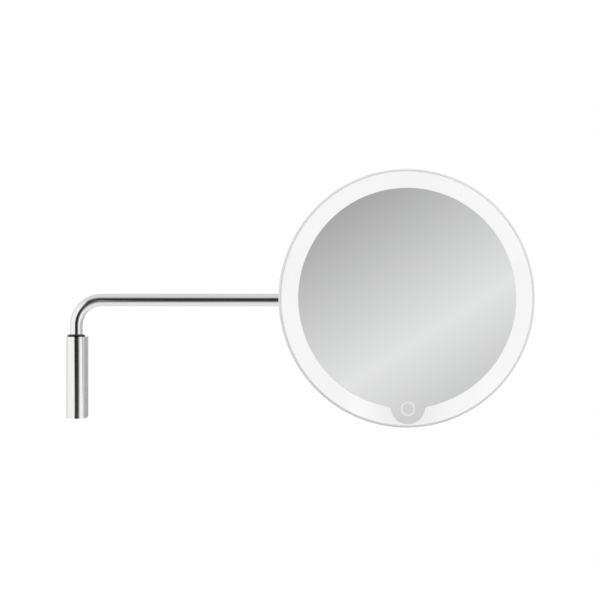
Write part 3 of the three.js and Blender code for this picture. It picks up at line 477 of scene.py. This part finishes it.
def make_housing():
    """The mount's cover: round at the front about the swing axis, straight back to the wall."""
    low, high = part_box("mount_housing")
    front = arc(0, SWING_AXIS.y, high.x, 180, 360, 72)
    back_corner = 0.4 * MM
    back = arc(high.x - back_corner, high.y - back_corner, back_corner, 0, 90, 4)
    back += arc(low.x + back_corner, high.y - back_corner, back_corner, 90, 180, 4)
    piece = prism("housing", front + back, low.z, high.z, bevel=0.35 * MM)
    at_axis = Matrix.Translation((0, SWING_AXIS.y, 0))
    bore_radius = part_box("lower_bush")[1].x + CUT_GAP
    bore_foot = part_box("pivot_bearing_disc")[0].z - CUT_GAP
    bore = cylinder(bore_radius, bore_foot, high.z + SPAN, at_axis)
    plate_low, plate_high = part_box("wall_plate")
    foot = plate_low.z - CUT_GAP
    side = plate_high.x + CUT_GAP
    behind = [(side, SPAN), (-side, SPAN)]
    pocket_outline = arc(0, SWING_AXIS.y, side, 180, 360, 32) + behind
    pocket = prism("pocket", pocket_outline, foot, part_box("pivot_washer")[1].z + CUT_GAP)
    recess_depth = 2.7 * MM
    recess_outline = [(-side, -recess_depth), (side, -recess_depth)] + behind
    recess = prism("recess", recess_outline, foot, plate_high.z + CUT_GAP)
    at_screw = Matrix.Translation((0, centre_of("housing_clamp_screw").y, 0))
    hole_radius = 2.1 * MM
    hole = cylinder(hole_radius, low.z - SPAN, plate_low.z + SPAN, at_screw)
    head_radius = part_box("housing_clamp_screw")[1].x + 0.3 * MM
    head_depth = 1.9 * MM
    counterbore = cylinder(head_radius, low.z - SPAN, low.z + head_depth, at_screw)
    combine(piece, [bore, pocket, recess, hole, counterbore])
    settle(piece, polished_steel, "wall_mount", "polished_steel", "mount_housing")


def make_upper_bush():
    """The black bush that the arm's leg turns in, with its bevelled collar above the housing."""
    low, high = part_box("upper_bush")
    housing_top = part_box("mount_housing")[1].z
    inner = TUBE_RADIUS + 0.15 * MM
    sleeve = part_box("lower_bush")[1].x
    foot = housing_top + 0.05 * MM
    rim_height = 1.2 * MM
    slope_width = 1.4 * MM
    profile = [
        (inner, low.z, 0),
        (sleeve, low.z),
        (sleeve, foot, 0),
        (high.x, foot, 0.05 * MM),
        (high.x, foot + rim_height, 0.4 * MM),
        (high.x - slope_width, high.z, 0.3 * MM),
        (inner, high.z),
    ]
    at_axis = Matrix.Translation((0, SWING_AXIS.y, 0))
    piece = turned("bush_collar", profile, place=at_axis, radius=0.1 * MM)
    settle(piece, gloss_black, "wall_mount", "gloss_black", "upper_bush")


# --- Arm -------------------------------------------------------------------------------------------

TUBE_WALL = 1.5 * MM
BEND_RADIUS = 20 * MM
BEND_STATIONS = 40
TUBE_SIDES = 72
GRAIN_PER_METRE = 1000


def arm_stations():
    """(point, direction, distance) along the tube: up the leg, round the bend and out to the end."""
    low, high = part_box("arm_tube")
    x, y = SWING_AXIS.x, SWING_AXIS.y
    bend_start = ARM_Z - BEND_RADIUS
    leg = bend_start - low.z
    quarter = BEND_RADIUS * math.pi / 2
    stations = [(Vector((x, y, low.z)), Vector((0, 0, 1)), 0.0)]
    for step in range(BEND_STATIONS + 1):
        angle = math.pi / 2 * step / BEND_STATIONS
        across = BEND_RADIUS * (1 - math.cos(angle))
        up = BEND_RADIUS * math.sin(angle)
        point = Vector((x + across, y, bend_start + up))
        direction = Vector((math.sin(angle), 0, math.cos(angle)))
        stations.append((point, direction, leg + quarter * step / BEND_STATIONS))
    run_end = high.x
    distance = leg + quarter + run_end - BEND_RADIUS
    stations.append((Vector((run_end, y, ARM_Z)), Vector((1, 0, 0)), distance))
    return stations


def make_arm_tube():
    """The bent tube, with its skin, its two faced ends and its bore."""
    across = Vector((0, 1, 0))
    edge = 0.3 * MM
    stations = arm_stations()
    first, last = stations[0], stations[-1]
    just_after = (first[0] + first[1] * edge, first[1], edge)
    just_before = (last[0] - last[1] * edge, last[1], last[2] - edge)
    skin = [(first, TUBE_RADIUS - edge), (just_after, TUBE_RADIUS)]
    skin += [(station, TUBE_RADIUS) for station in stations[1:-1]]
    skin += [(just_before, TUBE_RADIUS), (last, TUBE_RADIUS - edge)]
    skin += [(station, TUBE_RADIUS - TUBE_WALL) for station in reversed(stations)]
    vertices = []
    grain = []
    for (point, direction, distance), radius in skin:
        normal = across.cross(direction)
        for side in range(TUBE_SIDES):
            angle = math.tau * side / TUBE_SIDES
            offset = across * math.cos(angle) + normal * math.sin(angle)
            vertices.append(point + offset * radius)
            grain.append((distance * GRAIN_PER_METRE, math.cos(angle), math.sin(angle)))
    faces = []
    for row in range(len(skin)):
        next_row = (row + 1) % len(skin)
        for side in range(TUBE_SIDES):
            after = (side + 1) % TUBE_SIDES
            faces.append([
                row * TUBE_SIDES + side,
                row * TUBE_SIDES + after,
                next_row * TUBE_SIDES + after,
                next_row * TUBE_SIDES + side,
            ])
    mesh = bpy.data.meshes.new("arm_pipe")
    mesh.from_pydata([tuple(vertex) for vertex in vertices], [], faces)
    attribute = mesh.attributes.new("grain", "FLOAT_VECTOR", "POINT")
    for index, value in enumerate(grain):
        attribute.data[index].vector = value
    piece = finish_mesh("arm_pipe", mesh)
    settle(piece, drawn_steel, "arm", "polished_steel", "arm_tube")


ALONG_ARM = Matrix.Translation((0, PIN.y, ARM_Z)) @ Matrix.Rotation(math.pi / 2, 4, "Y")


def make_end_plug():
    """The bright collar between the tube and the knuckle, with its plug and its journal."""
    low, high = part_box("arm_end_plug")
    tube_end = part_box("arm_tube")[1].x
    barrel_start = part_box("tilt_barrel")[0].x
    bore = TUBE_RADIUS - TUBE_WALL - 0.1 * MM
    journal = 3.4 * MM
    edge = 0.25 * MM
    collar_start = tube_end + 0.1 * MM
    collar_end = barrel_start - 0.25 * MM
    profile = [
        (0, low.x, 0),
        (bore, low.x),
        (bore, collar_start, 0),
        (TUBE_RADIUS, collar_start, edge),
        (TUBE_RADIUS, collar_end, edge),
        (journal, collar_end, 0),
        (journal, high.x),
        (0, high.x, 0),
    ]
    piece = turned("plug_collar", profile, place=ALONG_ARM)
    settle(piece, polished_steel, "arm", "polished_steel", "arm_end_plug")


# --- Knuckle ---------------------------------------------------------------------------------------

PIN_HOLE = 2.2 * MM


def make_tilt_barrel():
    """The cup that turns on the arm's plug, with the tongue that the pin goes through."""
    low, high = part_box("tilt_barrel")
    radius = (high.z - low.z) / 2
    bore = 3.65 * MM
    tongue_radius = high.x - PIN.x
    cup_end = PIN.x - radius
    bore_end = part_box("arm_end_plug")[1].x + 0.4 * MM
    profile = [
        (0, bore_end, 0),
        (bore, bore_end, 0),
        (bore, low.x),
        (radius, low.x, 0.5 * MM),
        (radius, cup_end, 0.8 * MM),
        (0, cup_end, 0),
    ]
    cup = turned("barrel", profile, place=ALONG_ARM)
    between_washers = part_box("hinge_washer_upper")[0].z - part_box("hinge_washer_lower")[1].z
    half = between_washers / 2 - 0.15 * MM
    start = cup_end - 1.5 * MM
    outline = arc(PIN.x, 0, tongue_radius, -90, 90, 40)
    outline += [(start, tongue_radius), (start, -tongue_radius)]
    level = Matrix.Translation((0, PIN.y, PIN.z))
    tongue = prism("tongue", outline, -half, half, level, bevel=0.3 * MM)
    combine(cup, [tongue], "UNION")
    eye = cylinder(PIN_HOLE, -half - SPAN, half + SPAN, Matrix.Translation(PIN))
    to_screw = Matrix.Translation((centre_of("barrel_set_screw").x, PIN.y, PIN.z)) @ TO_WALL
    screw_hole = 1.6 * MM
    hole = cylinder(screw_hole, 0, radius + SPAN, to_screw, 32)
    combine(cup, [eye, hole])
    settle(cup, polished_steel, "knuckle", "polished_steel", "tilt_barrel")


def hexagon(radius, start=0):
    """Six corners, the first at an angle in degrees."""
    return arc(0, 0, radius, start, start + 360, 6)[:-1]


def screw(name, place, radius, height, shank, length, socket, sides=48):
    """A screw with its head's top at a place's origin, and a hexagonal socket in its head."""
    rim = 0.25 * MM
    socket_depth = height * 0.75
    profile = [
        (0, -length, 0),
        (shank, -length),
        (shank, -height, 0),
        (radius, -rim, 0.05 * MM),
        (radius, 0, 0.12 * MM),
        (0, 0, 0),
    ]
    piece = turned(name, profile, sides, place, 0.1 * MM, 3)
    combine(piece, [prism("socket", hexagon(socket), -socket_depth, SPAN, place)])
    return piece


def countersink(place, depth, hole, cone_start, head, cone_end=0.3 * MM):
    """A cutter for a screw's hole and the cone that its head sits in, down from a place's origin."""
    profile = [
        (0, -depth, 0),
        (hole, -depth, 0),
        (hole, -cone_start, 0),
        (head, -cone_end, 0),
        (head, SPAN, 0),
        (0, SPAN, 0),
    ]
    return turned("seat", profile, 48, place)


def top_of(node, turn):
    """A place at the middle of a node, moved to its far side along the turned Z axis."""
    low, high = local_box(node, turn)
    middle = (low + high) / 2
    return turn @ Matrix.Translation((middle.x, middle.y, high.z))


def make_screws():
    """The screws that can be seen, each standing for its CAD node."""
    back = HEAD @ TO_WALL
    for index in range(1, 5):
        for group in ("bracket", "shell"):
            node = f"{group}_screw_{index}"
            low, high = local_box(node, back)
            piece = screw(f"{group}_fixing_{index}", top_of(node, back), radius=(high.x - low.x) / 2,
                          height=1.5 * MM, shank=1.3 * MM, length=high.z - low.z, socket=1.1 * MM)
            settle(piece, plain_steel, "head", "plain_steel", node)
    door = screw("door_fixing", top_of("battery_door_screw", back), radius=2.3 * MM,
                 height=1.0 * MM, shank=1.0 * MM, length=6 * MM, socket=0.9 * MM)
    settle(door, plain_steel, "head", "plain_steel", "battery_door_screw")
    grub = screw("knuckle_grub", top_of("barrel_set_screw", TO_WALL), radius=1.5 * MM,
                 height=1.2 * MM, shank=1.45 * MM, length=3 * MM, socket=0.7 * MM, sides=32)
    settle(grub, plain_steel, "knuckle", "plain_steel", "barrel_set_screw")
    clamp = screw("housing_fixing", top_of("housing_clamp_screw", DOWN), radius=3.2 * MM,
                  height=1.5 * MM, shank=1.8 * MM, length=8.5 * MM, socket=1.3 * MM)
    settle(clamp, plain_steel, "wall_mount", "plain_steel", "housing_clamp_screw")


# --- Hinge behind the head -------------------------------------------------------------------------

EAR_INNER = 4 * MM  # from the arm's axis up to the upper ear
EAR_OUTER = 7.2 * MM
SCREW_HOLE = 1.8 * MM
SCREW_SEAT = 3.1 * MM
CORNER = 4 * MM  # of the bracket's pad and of the battery door


def make_bracket():
    """The pad screwed to the head's back, and the two ears that hold the pin."""
    low, high = local_box("hinge_bracket", HINGE)
    pad_back = 7.2 * MM  # from the pin's axis towards the room
    pad_outline = rounded_rectangle(high.x, high.z, CORNER)
    pad = prism("bracket", pad_outline, pad_back, -low.y, HINGE @ TO_ROOM, bevel=0.5 * MM)
    ear_root = -8 * MM
    outline = arc(0, 0, high.y, 0, 180, 40) + [(-high.y, ear_root), (high.y, ear_root)]
    ears = [
        prism("ear", outline, EAR_INNER, EAR_OUTER, HINGE, bevel=0.35 * MM),
        prism("ear", outline, -EAR_OUTER, -EAR_INNER, HINGE, bevel=0.35 * MM),
    ]
    combine(pad, ears, "UNION")
    tools = [cylinder(PIN_HOLE, -EAR_OUTER - SPAN, EAR_OUTER + SPAN, HINGE)]
    for index in range(1, 5):
        place = top_of(f"bracket_screw_{index}", HINGE @ TO_WALL)
        tools.append(countersink(place, 5 * MM, SCREW_HOLE, 1.7 * MM, SCREW_SEAT))
    combine(pad, tools)
    settle(pad, polished_steel, "head", "polished_steel", "hinge_bracket")


def make_pin_and_nut():
    """The upright pin, its nut, and the two washers between the ears and the tongue."""
    low, high = local_box("hinge_pin", HINGE)
    pin_radius = 2 * MM
    seat = EAR_OUTER + 0.1 * MM
    profile = [
        (0, low.z, 0),
        (pin_radius, low.z, 0.3 * MM),
        (pin_radius, seat, 0),
        (high.x, seat, 0.1 * MM),
        (high.x, high.z - 0.4 * MM, 0.4 * MM),
        (high.x * 0.8, high.z, 0.3 * MM),
        (0, high.z, 0),
    ]
    pin = turned("turning_pin", profile, 64, HINGE)
    above = HINGE @ Matrix.Translation((0, 0, high.z))
    combine(pin, [prism("socket", hexagon(1.4 * MM), -1.2 * MM, SPAN, above)])
    settle(pin, plain_steel, "head", "plain_steel", "hinge_pin")
    low, high = local_box("hinge_nut", HINGE)
    nut = prism("pin_nut", hexagon(high.y, 90), low.z, -seat, HINGE, bevel=0.3 * MM)
    nut_hole = 2.1 * MM
    combine(nut, [cylinder(nut_hole, low.z - SPAN, high.z + SPAN, HINGE)])
    settle(nut, plain_steel, "head", "plain_steel", "hinge_nut")
    for level in ("upper", "lower"):
        low, high = local_box(f"hinge_washer_{level}", HINGE)
        band = [(PIN_HOLE, low.z), (high.x, low.z), (high.x, high.z), (PIN_HOLE, high.z)]
        washer = turned(f"friction_washer_{level}", band, 64, HINGE)
        settle(washer, black_plastic, "head", "black_plastic", f"hinge_washer_{level}")


# --- Head ------------------------------------------------------------------------------------------

FACE = HEAD @ TO_ROOM  # X right, Y up and Z towards the room, from the head's centre at the pin
SHELL_LOW, SHELL_HIGH = local_box("rear_shell", HEAD)
HEAD_RADIUS = SHELL_HIGH.x
FACE_HEIGHT = -SHELL_LOW.y  # of the lip's front, along FACE's Z
BACK_HEIGHT = -SHELL_HIGH.y
LIP_INNER = local_box("diffuser_ring", HEAD)[1].x + 0.2 * MM
SHELL_THICKNESS = 1.8 * MM
SHELL_FLAT_RADIUS = 84 * MM  # where the rounded edge meets the flat back
LIP_DEPTH = 2.5 * MM  # of the shell's straight band, back from the face
LIP_ROUND = 1.5 * MM
HEAD_STEPS = 240


def shell_quarter(lip_radius, back_height, steps=28):
    """The section of the shell's rounded edge: a quarter ellipse from the lip to the flat back."""
    lip_height = FACE_HEIGHT - LIP_DEPTH
    points = []
    for step in range(steps + 1):
        angle = math.pi / 2 * step / steps
        radius = SHELL_FLAT_RADIUS + (lip_radius - SHELL_FLAT_RADIUS) * math.cos(angle)
        points.append((radius, lip_height + (back_height - lip_height) * math.sin(angle), 0))
    return points


def make_shell():
    """The spun shell: a thin lip at the face, a rounded edge and a flat back."""
    inner_back = BACK_HEIGHT + SHELL_THICKNESS
    profile = [(0, inner_back, 0)]
    profile += list(reversed(shell_quarter(LIP_INNER, inner_back)))
    profile.append((LIP_INNER, FACE_HEIGHT, 0.35 * MM))
    edge = arc(HEAD_RADIUS - LIP_ROUND, FACE_HEIGHT - LIP_ROUND, LIP_ROUND, 90, 0, 8)
    profile += [(radius, height, 0) for radius, height in edge]
    profile += shell_quarter(HEAD_RADIUS, BACK_HEIGHT)
    profile += [(0, BACK_HEIGHT, 0)]
    piece = turned("back_shell", profile, HEAD_STEPS, FACE)
    low, high = local_box("battery_door", HEAD)
    margin = 0.25 * MM
    half_height = (high.z - low.z) / 2 + margin
    opening = rounded_rectangle(high.x + margin, half_height, CORNER + margin, (high.z + low.z) / 2)
    tools = [prism("opening", opening, BACK_HEIGHT - SPAN, inner_back + SPAN, FACE)]
    for index in range(1, 5):
        place = top_of(f"shell_screw_{index}", HEAD @ TO_WALL)
        tools.append(countersink(place, 3 * MM, SCREW_HOLE, 1.6 * MM, SCREW_SEAT))
        under = top_of(f"bracket_screw_{index}", HEAD @ TO_WALL)
        tools.append(cylinder(SCREW_HOLE, -8 * MM, SPAN, under, 32))
    combine(piece, tools)
    grain_about_axis(piece, FACE)
    settle(piece, satin_silver, "head", "satin_silver", "rear_shell")


TAB_RADIUS = 13.2 * MM
TAB_FILLET = 3.5 * MM
GROOVE_GAP = 0.06 * MM  # beside the touch ring


def mirror_outline(margin=0.0):
    """A circle with a round tab at its foot, blended by two hollow fillets."""
    low, high = local_box("mirror_glass", HEAD)
    drop = -low.z - TAB_RADIUS
    main = high.z + margin
    tab = TAB_RADIUS + margin
    fillet = TAB_FILLET - margin
    below = ((main + fillet) ** 2 - (tab + fillet) ** 2 + drop ** 2) / (2 * drop)
    aside = math.sqrt((main + fillet) ** 2 - below ** 2)
    steep = math.degrees(math.atan2(below, aside))
    shallow = math.degrees(math.atan2(below - drop, aside))
    outline = arc(0, 0, main, -steep, 180 + steep, HEAD_STEPS)
    outline += arc(-aside, -below, fillet, steep, shallow, 14)[1:-1]
    outline += arc(0, -drop, tab, 180 + shallow, 360 - shallow, 48)
    outline += arc(aside, -below, fillet, 180 - shallow, 180 - steep, 14)[1:-1]
    return outline


def make_mirror():
    """The silvered glass, with the groove that the touch ring lies in."""
    low, high = local_box("mirror_glass", HEAD)
    piece = prism("silvered_mirror", mirror_outline(), -high.y, -low.y, FACE, bevel=0.25 * MM)
    ring_low, ring_high = local_box("touch_ring", HEAD)
    centre = (ring_low + ring_high) / 2
    at_ring = FACE @ Matrix.Translation((centre.x, centre.z, 0))
    outer = ring_high.x + GROOVE_GAP
    inner = inner_radius("touch_ring", HEAD, centre) - GROOVE_GAP
    floor = -ring_high.y - 0.05 * MM
    above = -low.y + SPAN
    groove = [(inner, floor, 0), (outer, floor, 0), (outer, above, 0), (inner, above, 0)]
    combine(piece, [turned("groove", groove, 96, at_ring)])
    settle(piece, silvered, "head", "mirror_glass", "mirror_glass")


def make_diffuser():
    """The opal light ring round the glass and its tab."""
    low, high = local_box("diffuser_ring", HEAD)
    outer = LIP_INNER - 0.04 * MM
    round_edge = arc(0, 0, outer, 0, 360, HEAD_STEPS)[:-1]
    piece = prism("light_ring", round_edge, -high.y, -low.y, FACE, bevel=0.15 * MM)
    hole = prism("hole", mirror_outline(0.08 * MM), -high.y - SPAN, -low.y + SPAN, FACE)
    combine(piece, [hole])
    settle(piece, opal, "head", "opal_diffuser", "diffuser_ring")


def make_touch_ring():
    """The small opal ring that is touched to switch the light."""
    low, high = local_box("touch_ring", HEAD)
    centre = (low + high) / 2
    at_ring = FACE @ Matrix.Translation((centre.x, centre.z, 0))
    inner = inner_radius("touch_ring", HEAD, centre)
    face = -low.y
    profile = [(inner, -high.y), (high.x, -high.y), (high.x, face), (inner, face)]
    piece = turned("touch_light", profile, 96, at_ring, 0.08 * MM)
    settle(piece, opal_button, "head", "opal_diffuser", "touch_ring")


def make_battery_door():
    """The screwed door in the shell's back, with five grooves to grip it by."""
    low, high = local_box("battery_door", HEAD)
    centre = (low.z + high.z) / 2
    outline = rounded_rectangle(high.x, (high.z - low.z) / 2, CORNER, centre)
    piece = prism("cell_door", outline, -high.y, -low.y, FACE, bevel=0.3 * MM)
    first_groove, groove_step, groove_depth = 7, 2.4, 0.5 * MM
    tools = []
    for index in range(5):
        height = high.z - (first_groove + groove_step * index) * MM
        groove = rounded_rectangle(9 * MM, 0.5 * MM, 0.45 * MM, height, 4)
        tools.append(prism("grip", groove, -high.y - SPAN, -high.y + groove_depth, FACE))
    place = top_of("battery_door_screw", HEAD @ TO_WALL)
    tools.append(countersink(place, 3 * MM, 1.3 * MM, 1.1 * MM, 2.5 * MM, 0.25 * MM))
    combine(piece, tools)
    settle(piece, black_plastic, "head", "black_plastic", "battery_door")


# --- Studio ----------------------------------------------------------------------------------------

RIGHT = (1, 0, 0)
UP = (0, 0, 1)
CAMERA_PLACE = Vector((0.1781, -0.985, ARM_Z))
CAMERA_LENS = 73.5

FLOOR_RADIUS = 0.95
FLOOR_FADE = 0.35  # the radius at which the floor starts to fade out
FLOOR_Z = -0.42
FLOOR_CLOUDS = 30
DARK_Y = -0.75
DARK_STRENGTH = 0.02
DARK_ELBOW = -0.15  # the height, from the arm's, at which the dark card's left edge turns
DARK_LEAN = 0.6  # how far that edge moves to the left for each metre above or below it
DARK_EDGES_X = [(-0.145, -0.045), (1.12, 0.38)]  # clear at the first, whole from the second on
DARK_EDGES_Z = [(-1.2, -0.05), (1.3, 0.15)]
DARK_HALF_WIDTH = 1.6
DARK_HALF_HEIGHT = 1.7
DARK_SPAN = 2.0  # further than the dark card reaches above or below its elbow
MIRROR_CARD_Y = -0.8
MIRROR_CARD_SIZE = 2.0  # half its width and half its height
MIRROR_SLOPE = 122  # the direction in which it darkens, in degrees from the right
MIRROR_PEAK = -0.37  # where it is brightest, from -1 to 1 across the mirror in that direction
MIRROR_GLOW = (0.663, 0.845, 0.436)  # at the start, at the peak and at the end

# The room's brightness, by what looks at it and in which direction.
ROOM_BEHIND_OBJECT = 1.02  # as the camera sees it
ROOM_FRONT = 1.1
ROOM_BACK_LEFT = 0.9
ROOM_BACK_RIGHT = (0.58, 0.36)  # slanting back, and straight back
CEILING = 0.82
CEILING_LIGHT = 1.0  # where it lights dull surfaces
GROUND = 0.95
GROUND_LIGHT = 0.1
ROOM_IN_MIRROR = (0.55, 0.82)  # low down, and high up


def make_camera():
    """Level with the arm, and square on to the wall."""
    data = bpy.data.cameras.new("camera")
    data.lens = CAMERA_LENS
    data.clip_start = 0.01
    data.clip_end = 20
    camera = bpy.data.objects.new("camera", data)
    camera.location = CAMERA_PLACE
    camera.rotation_euler = (math.pi / 2, 0, 0)
    bpy.context.scene.collection.objects.link(camera)
    bpy.context.scene.camera = camera


class Glow:
    """A card's glow, worked out from the place on the card in metres: x right and z up."""

    def __init__(self, name):
        self.material = bpy.data.materials.new(name)
        self.material.use_nodes = True
        self.tree = self.material.node_tree
        self.tree.nodes.clear()
        self.place = self.tree.nodes.new("ShaderNodeTexCoord").outputs["Object"]
        self.emission = self.tree.nodes.new("ShaderNodeEmission")

    def math(self, operation, first, second):
        node = self.tree.nodes.new("ShaderNodeMath")
        node.operation = operation
        self.tree.links.new(first, node.inputs[0])
        self.tree.links.new(second, node.inputs[1])
        return node.outputs[0]

    def ramp(self, value, start, end, low, high, shape="LINEAR"):
        return ramp(self.tree, value, start, end, low, high, shape)

    def along(self, direction):
        """The distance along a direction on the card."""
        node = self.tree.nodes.new("ShaderNodeVectorMath")
        node.operation = "DOT_PRODUCT"
        node.inputs[1].default_value = direction
        self.tree.links.new(self.place, node.inputs[0])
        return node.outputs["Value"]

    def seen_in(self, finish, across, edges_x, edges_z):
        """Shows the card in the mirror or in the steel alone, and fades it out between its
        (outer, inner) edges: left, right, bottom and top."""
        sharp = self.tree.nodes.new("ShaderNodeLightPath").outputs["Is Singular Ray"]
        low, high = (0.0, 1.0) if finish == "mirror" else (1.0, 0.0)
        cover = self.ramp(sharp, 0.0, 1.0, low, high)
        for distance, edges in ((across, edges_x), (self.along(UP), edges_z)):
            for outer, inner in edges:
                low, high = (0.0, 1.0) if outer < inner else (1.0, 0.0)
                near, far = min(outer, inner), max(outer, inner)
                side = self.ramp(distance, near, far, low, high, "SMOOTHSTEP")
                cover = self.math("MULTIPLY", cover, side)
        clear = self.tree.nodes.new("ShaderNodeBsdfTransparent")
        mix = self.tree.nodes.new("ShaderNodeMixShader")
        output = self.tree.nodes.new("ShaderNodeOutputMaterial")
        self.tree.links.new(cover, mix.inputs["Fac"])
        self.tree.links.new(clear.outputs[0], mix.inputs[1])
        self.tree.links.new(self.emission.outputs[0], mix.inputs[2])
        self.tree.links.new(mix.outputs[0], output.inputs["Surface"])
        return self.material


def ramp(tree, value, start, end, low, high, shape="LINEAR"):
    """Goes from low to high as a value goes from start to end, and stays there beyond."""
    node = tree.nodes.new("ShaderNodeMapRange")
    node.interpolation_type = shape
    node.inputs["From Min"].default_value = start
    node.inputs["From Max"].default_value = end
    node.inputs["To Min"].default_value = low
    node.inputs["To Max"].default_value = high
    tree.links.new(value, node.inputs["Value"])
    return node.outputs["Result"]


def stage_card(name, centre, half_width, half_height, material):
    """An upright card of the studio, parallel to the wall and seen only in reflections."""
    card = from_faces(name, [
        (-half_width, 0, -half_height),
        (half_width, 0, -half_height),
        (half_width, 0, half_height),
        (-half_width, 0, half_height),
    ], [[0, 1, 2, 3]])
    card.location = centre
    card.data.materials.append(material)
    card.visible_camera = False
    card.visible_shadow = False
    card.visible_diffuse = False


def make_dark_card():
    """The dark, soft-edged side of the room, which draws the dark lines in the polished steel."""
    glow = Glow("dark_card")
    glow.emission.inputs["Strength"].default_value = DARK_STRENGTH
    up = glow.along(UP)
    above = glow.ramp(up, DARK_ELBOW, DARK_ELBOW + DARK_SPAN, 0.0, DARK_LEAN * DARK_SPAN)
    below = glow.ramp(up, DARK_ELBOW, DARK_ELBOW - DARK_SPAN, 0.0, DARK_LEAN * DARK_SPAN)
    across = glow.math("ADD", glow.along(RIGHT), glow.math("ADD", above, below))
    material = glow.seen_in("steel", across, DARK_EDGES_X, DARK_EDGES_Z)
    stage_card("dark_card", (0, DARK_Y, ARM_Z), DARK_HALF_WIDTH, DARK_HALF_HEIGHT, material)


def reflected_in_mirror(right, up):
    """Where the camera's line of sight to a place on the mirror's face goes on to at the card."""
    face = local_box("mirror_glass", HEAD)[0].y
    place = HEAD @ Vector((right, face, up))
    normal = HEAD.to_3x3() @ Vector((0, -1, 0))
    sight = place - CAMERA_PLACE
    sight = sight - 2 * sight.dot(normal) * normal
    return place + sight * (MIRROR_CARD_Y - place.y) / sight.y


def make_mirror_card():
    """The pale, softly shaded screen that the mirror faces, brightest towards its lower right."""
    low, high = local_box("mirror_glass", HEAD)
    left = reflected_in_mirror(low.x, 0)
    right = reflected_in_mirror(high.x, 0)
    top = reflected_in_mirror(0, high.z)
    centre = reflected_in_mirror(0, 0)
    half_width = (right.x - left.x) / 2
    slope = math.radians(MIRROR_SLOPE)
    along = (math.cos(slope) / half_width, 0, math.sin(slope) / (top.z - centre.z))
    glow = Glow("mirror_card")
    distance = glow.along(along)
    start, peak, end = MIRROR_GLOW
    rising = glow.ramp(distance, -1, MIRROR_PEAK, start, peak)
    falling = glow.ramp(distance, MIRROR_PEAK, 1, peak, end)
    strength = glow.math("MINIMUM", rising, falling)
    glow.tree.links.new(strength, glow.emission.inputs["Strength"])
    edges = [(side * MIRROR_CARD_SIZE, side * MIRROR_CARD_SIZE / 2) for side in (-1, 1)]
    material = glow.seen_in("mirror", glow.along(RIGHT), edges, edges)
    place = ((left.x + right.x) / 2, MIRROR_CARD_Y, centre.z)
    stage_card("mirror_card", place, MIRROR_CARD_SIZE, MIRROR_CARD_SIZE, material)


def make_floor():
    """A pale floor well below the object, which runs out into the white of the room."""
    nodes = Nodes("pale_floor")
    fine = nodes.noise(nodes.coordinates(), FLOOR_CLOUDS, 3.0)
    nodes.colour(nodes.blend(fine, (0.88, 0.88, 0.875), (0.9, 0.9, 0.895)))
    nodes.set(Roughness=0.7)
    outward = nodes.tree.nodes.new("ShaderNodeVectorMath")
    outward.operation = "LENGTH"
    nodes.link(nodes.coordinates(), outward.inputs[0])
    cover = ramp(nodes.tree, outward.outputs["Value"], FLOOR_FADE, FLOOR_RADIUS, 1.0, 0.0, "SMOOTHSTEP")
    nodes.link(cover, nodes.shader.inputs["Alpha"])
    rim = arc(0, 0, FLOOR_RADIUS, 0, 360, 192)[:-1]
    floor = from_faces("floor", [(x, y, 0) for x, y in rim], [list(range(len(rim)))])
    floor.location = (CAMERA_PLACE.x, 0, FLOOR_Z)
    floor.data.materials.append(nodes.material)
    floor.visible_glossy = False
    floor.visible_diffuse = False


def make_world():
    """A white room. The steel reflects it dimmer overhead and dimmer again behind to the right, the
    mirror reflects it soft grey, and it lights dull surfaces from above more than from below."""
    world = bpy.data.worlds.new("studio")
    bpy.context.scene.world = world
    world.use_nodes = True
    tree = world.node_tree
    background = tree.nodes["Background"]
    direction = tree.nodes.new("ShaderNodeTexCoord").outputs["Generated"]
    parts = tree.nodes.new("ShaderNodeSeparateXYZ")
    tree.links.new(direction, parts.inputs["Vector"])

    def side(axis, start, end):
        """How far a direction is towards a side of the room: none at start, and all at end."""
        return ramp(tree, parts.outputs[axis], start, end, 0.0, 1.0, "SMOOTHSTEP")

    def mix(share, first, second):
        node = tree.nodes.new("ShaderNodeMix")
        tree.links.new(share, node.inputs["Factor"])
        for socket, value in ((node.inputs["A"], first), (node.inputs["B"], second)):
            if isinstance(value, float):
                socket.default_value = value
            else:
                tree.links.new(value, socket)
        return node.outputs["Result"]

    back_right = ramp(tree, parts.outputs["Y"], 0.6, 1.0, *ROOM_BACK_RIGHT)
    back = mix(side("X", -0.3, 0.3), ROOM_BACK_LEFT, back_right)
    level = mix(side("Y", 0.0, 0.27), ROOM_FRONT, back)
    above = side("Z", 0.3, 0.9)
    reflected = mix(side("Z", -0.3, -0.9), mix(above, level, CEILING), GROUND)
    scattered = mix(side("Z", -0.1, -0.7), mix(above, level, CEILING_LIGHT), GROUND_LIGHT)
    mirrored = ramp(tree, parts.outputs["Z"], -0.8, 0.8, *ROOM_IN_MIRROR)
    path = tree.nodes.new("ShaderNodeLightPath").outputs
    dull_or_shiny = mix(path["Is Diffuse Ray"], reflected, scattered)
    from_object = mix(path["Is Singular Ray"], dull_or_shiny, mirrored)
    strength = mix(path["Is Camera Ray"], from_object, ROOM_BEHIND_OBJECT)
    tree.links.new(strength, background.inputs["Strength"])
    background.inputs["Color"].default_value = (1, 1, 1, 1)


def make_studio():
    """The floor, the room and the two cards, none of them part of the object."""
    make_floor()
    make_world()
    make_dark_card()
    make_mirror_card()


finish_cad_nodes()
make_housing()
make_upper_bush()
make_arm_tube()
make_end_plug()
make_tilt_barrel()
make_bracket()
make_pin_and_nut()
make_shell()
make_mirror()
make_diffuser()
make_touch_ring()
make_battery_door()
make_screws()
make_camera()
make_studio()
bpy.context.scene.view_settings.view_transform = "Standard"

bpy.context.view_layer.update()
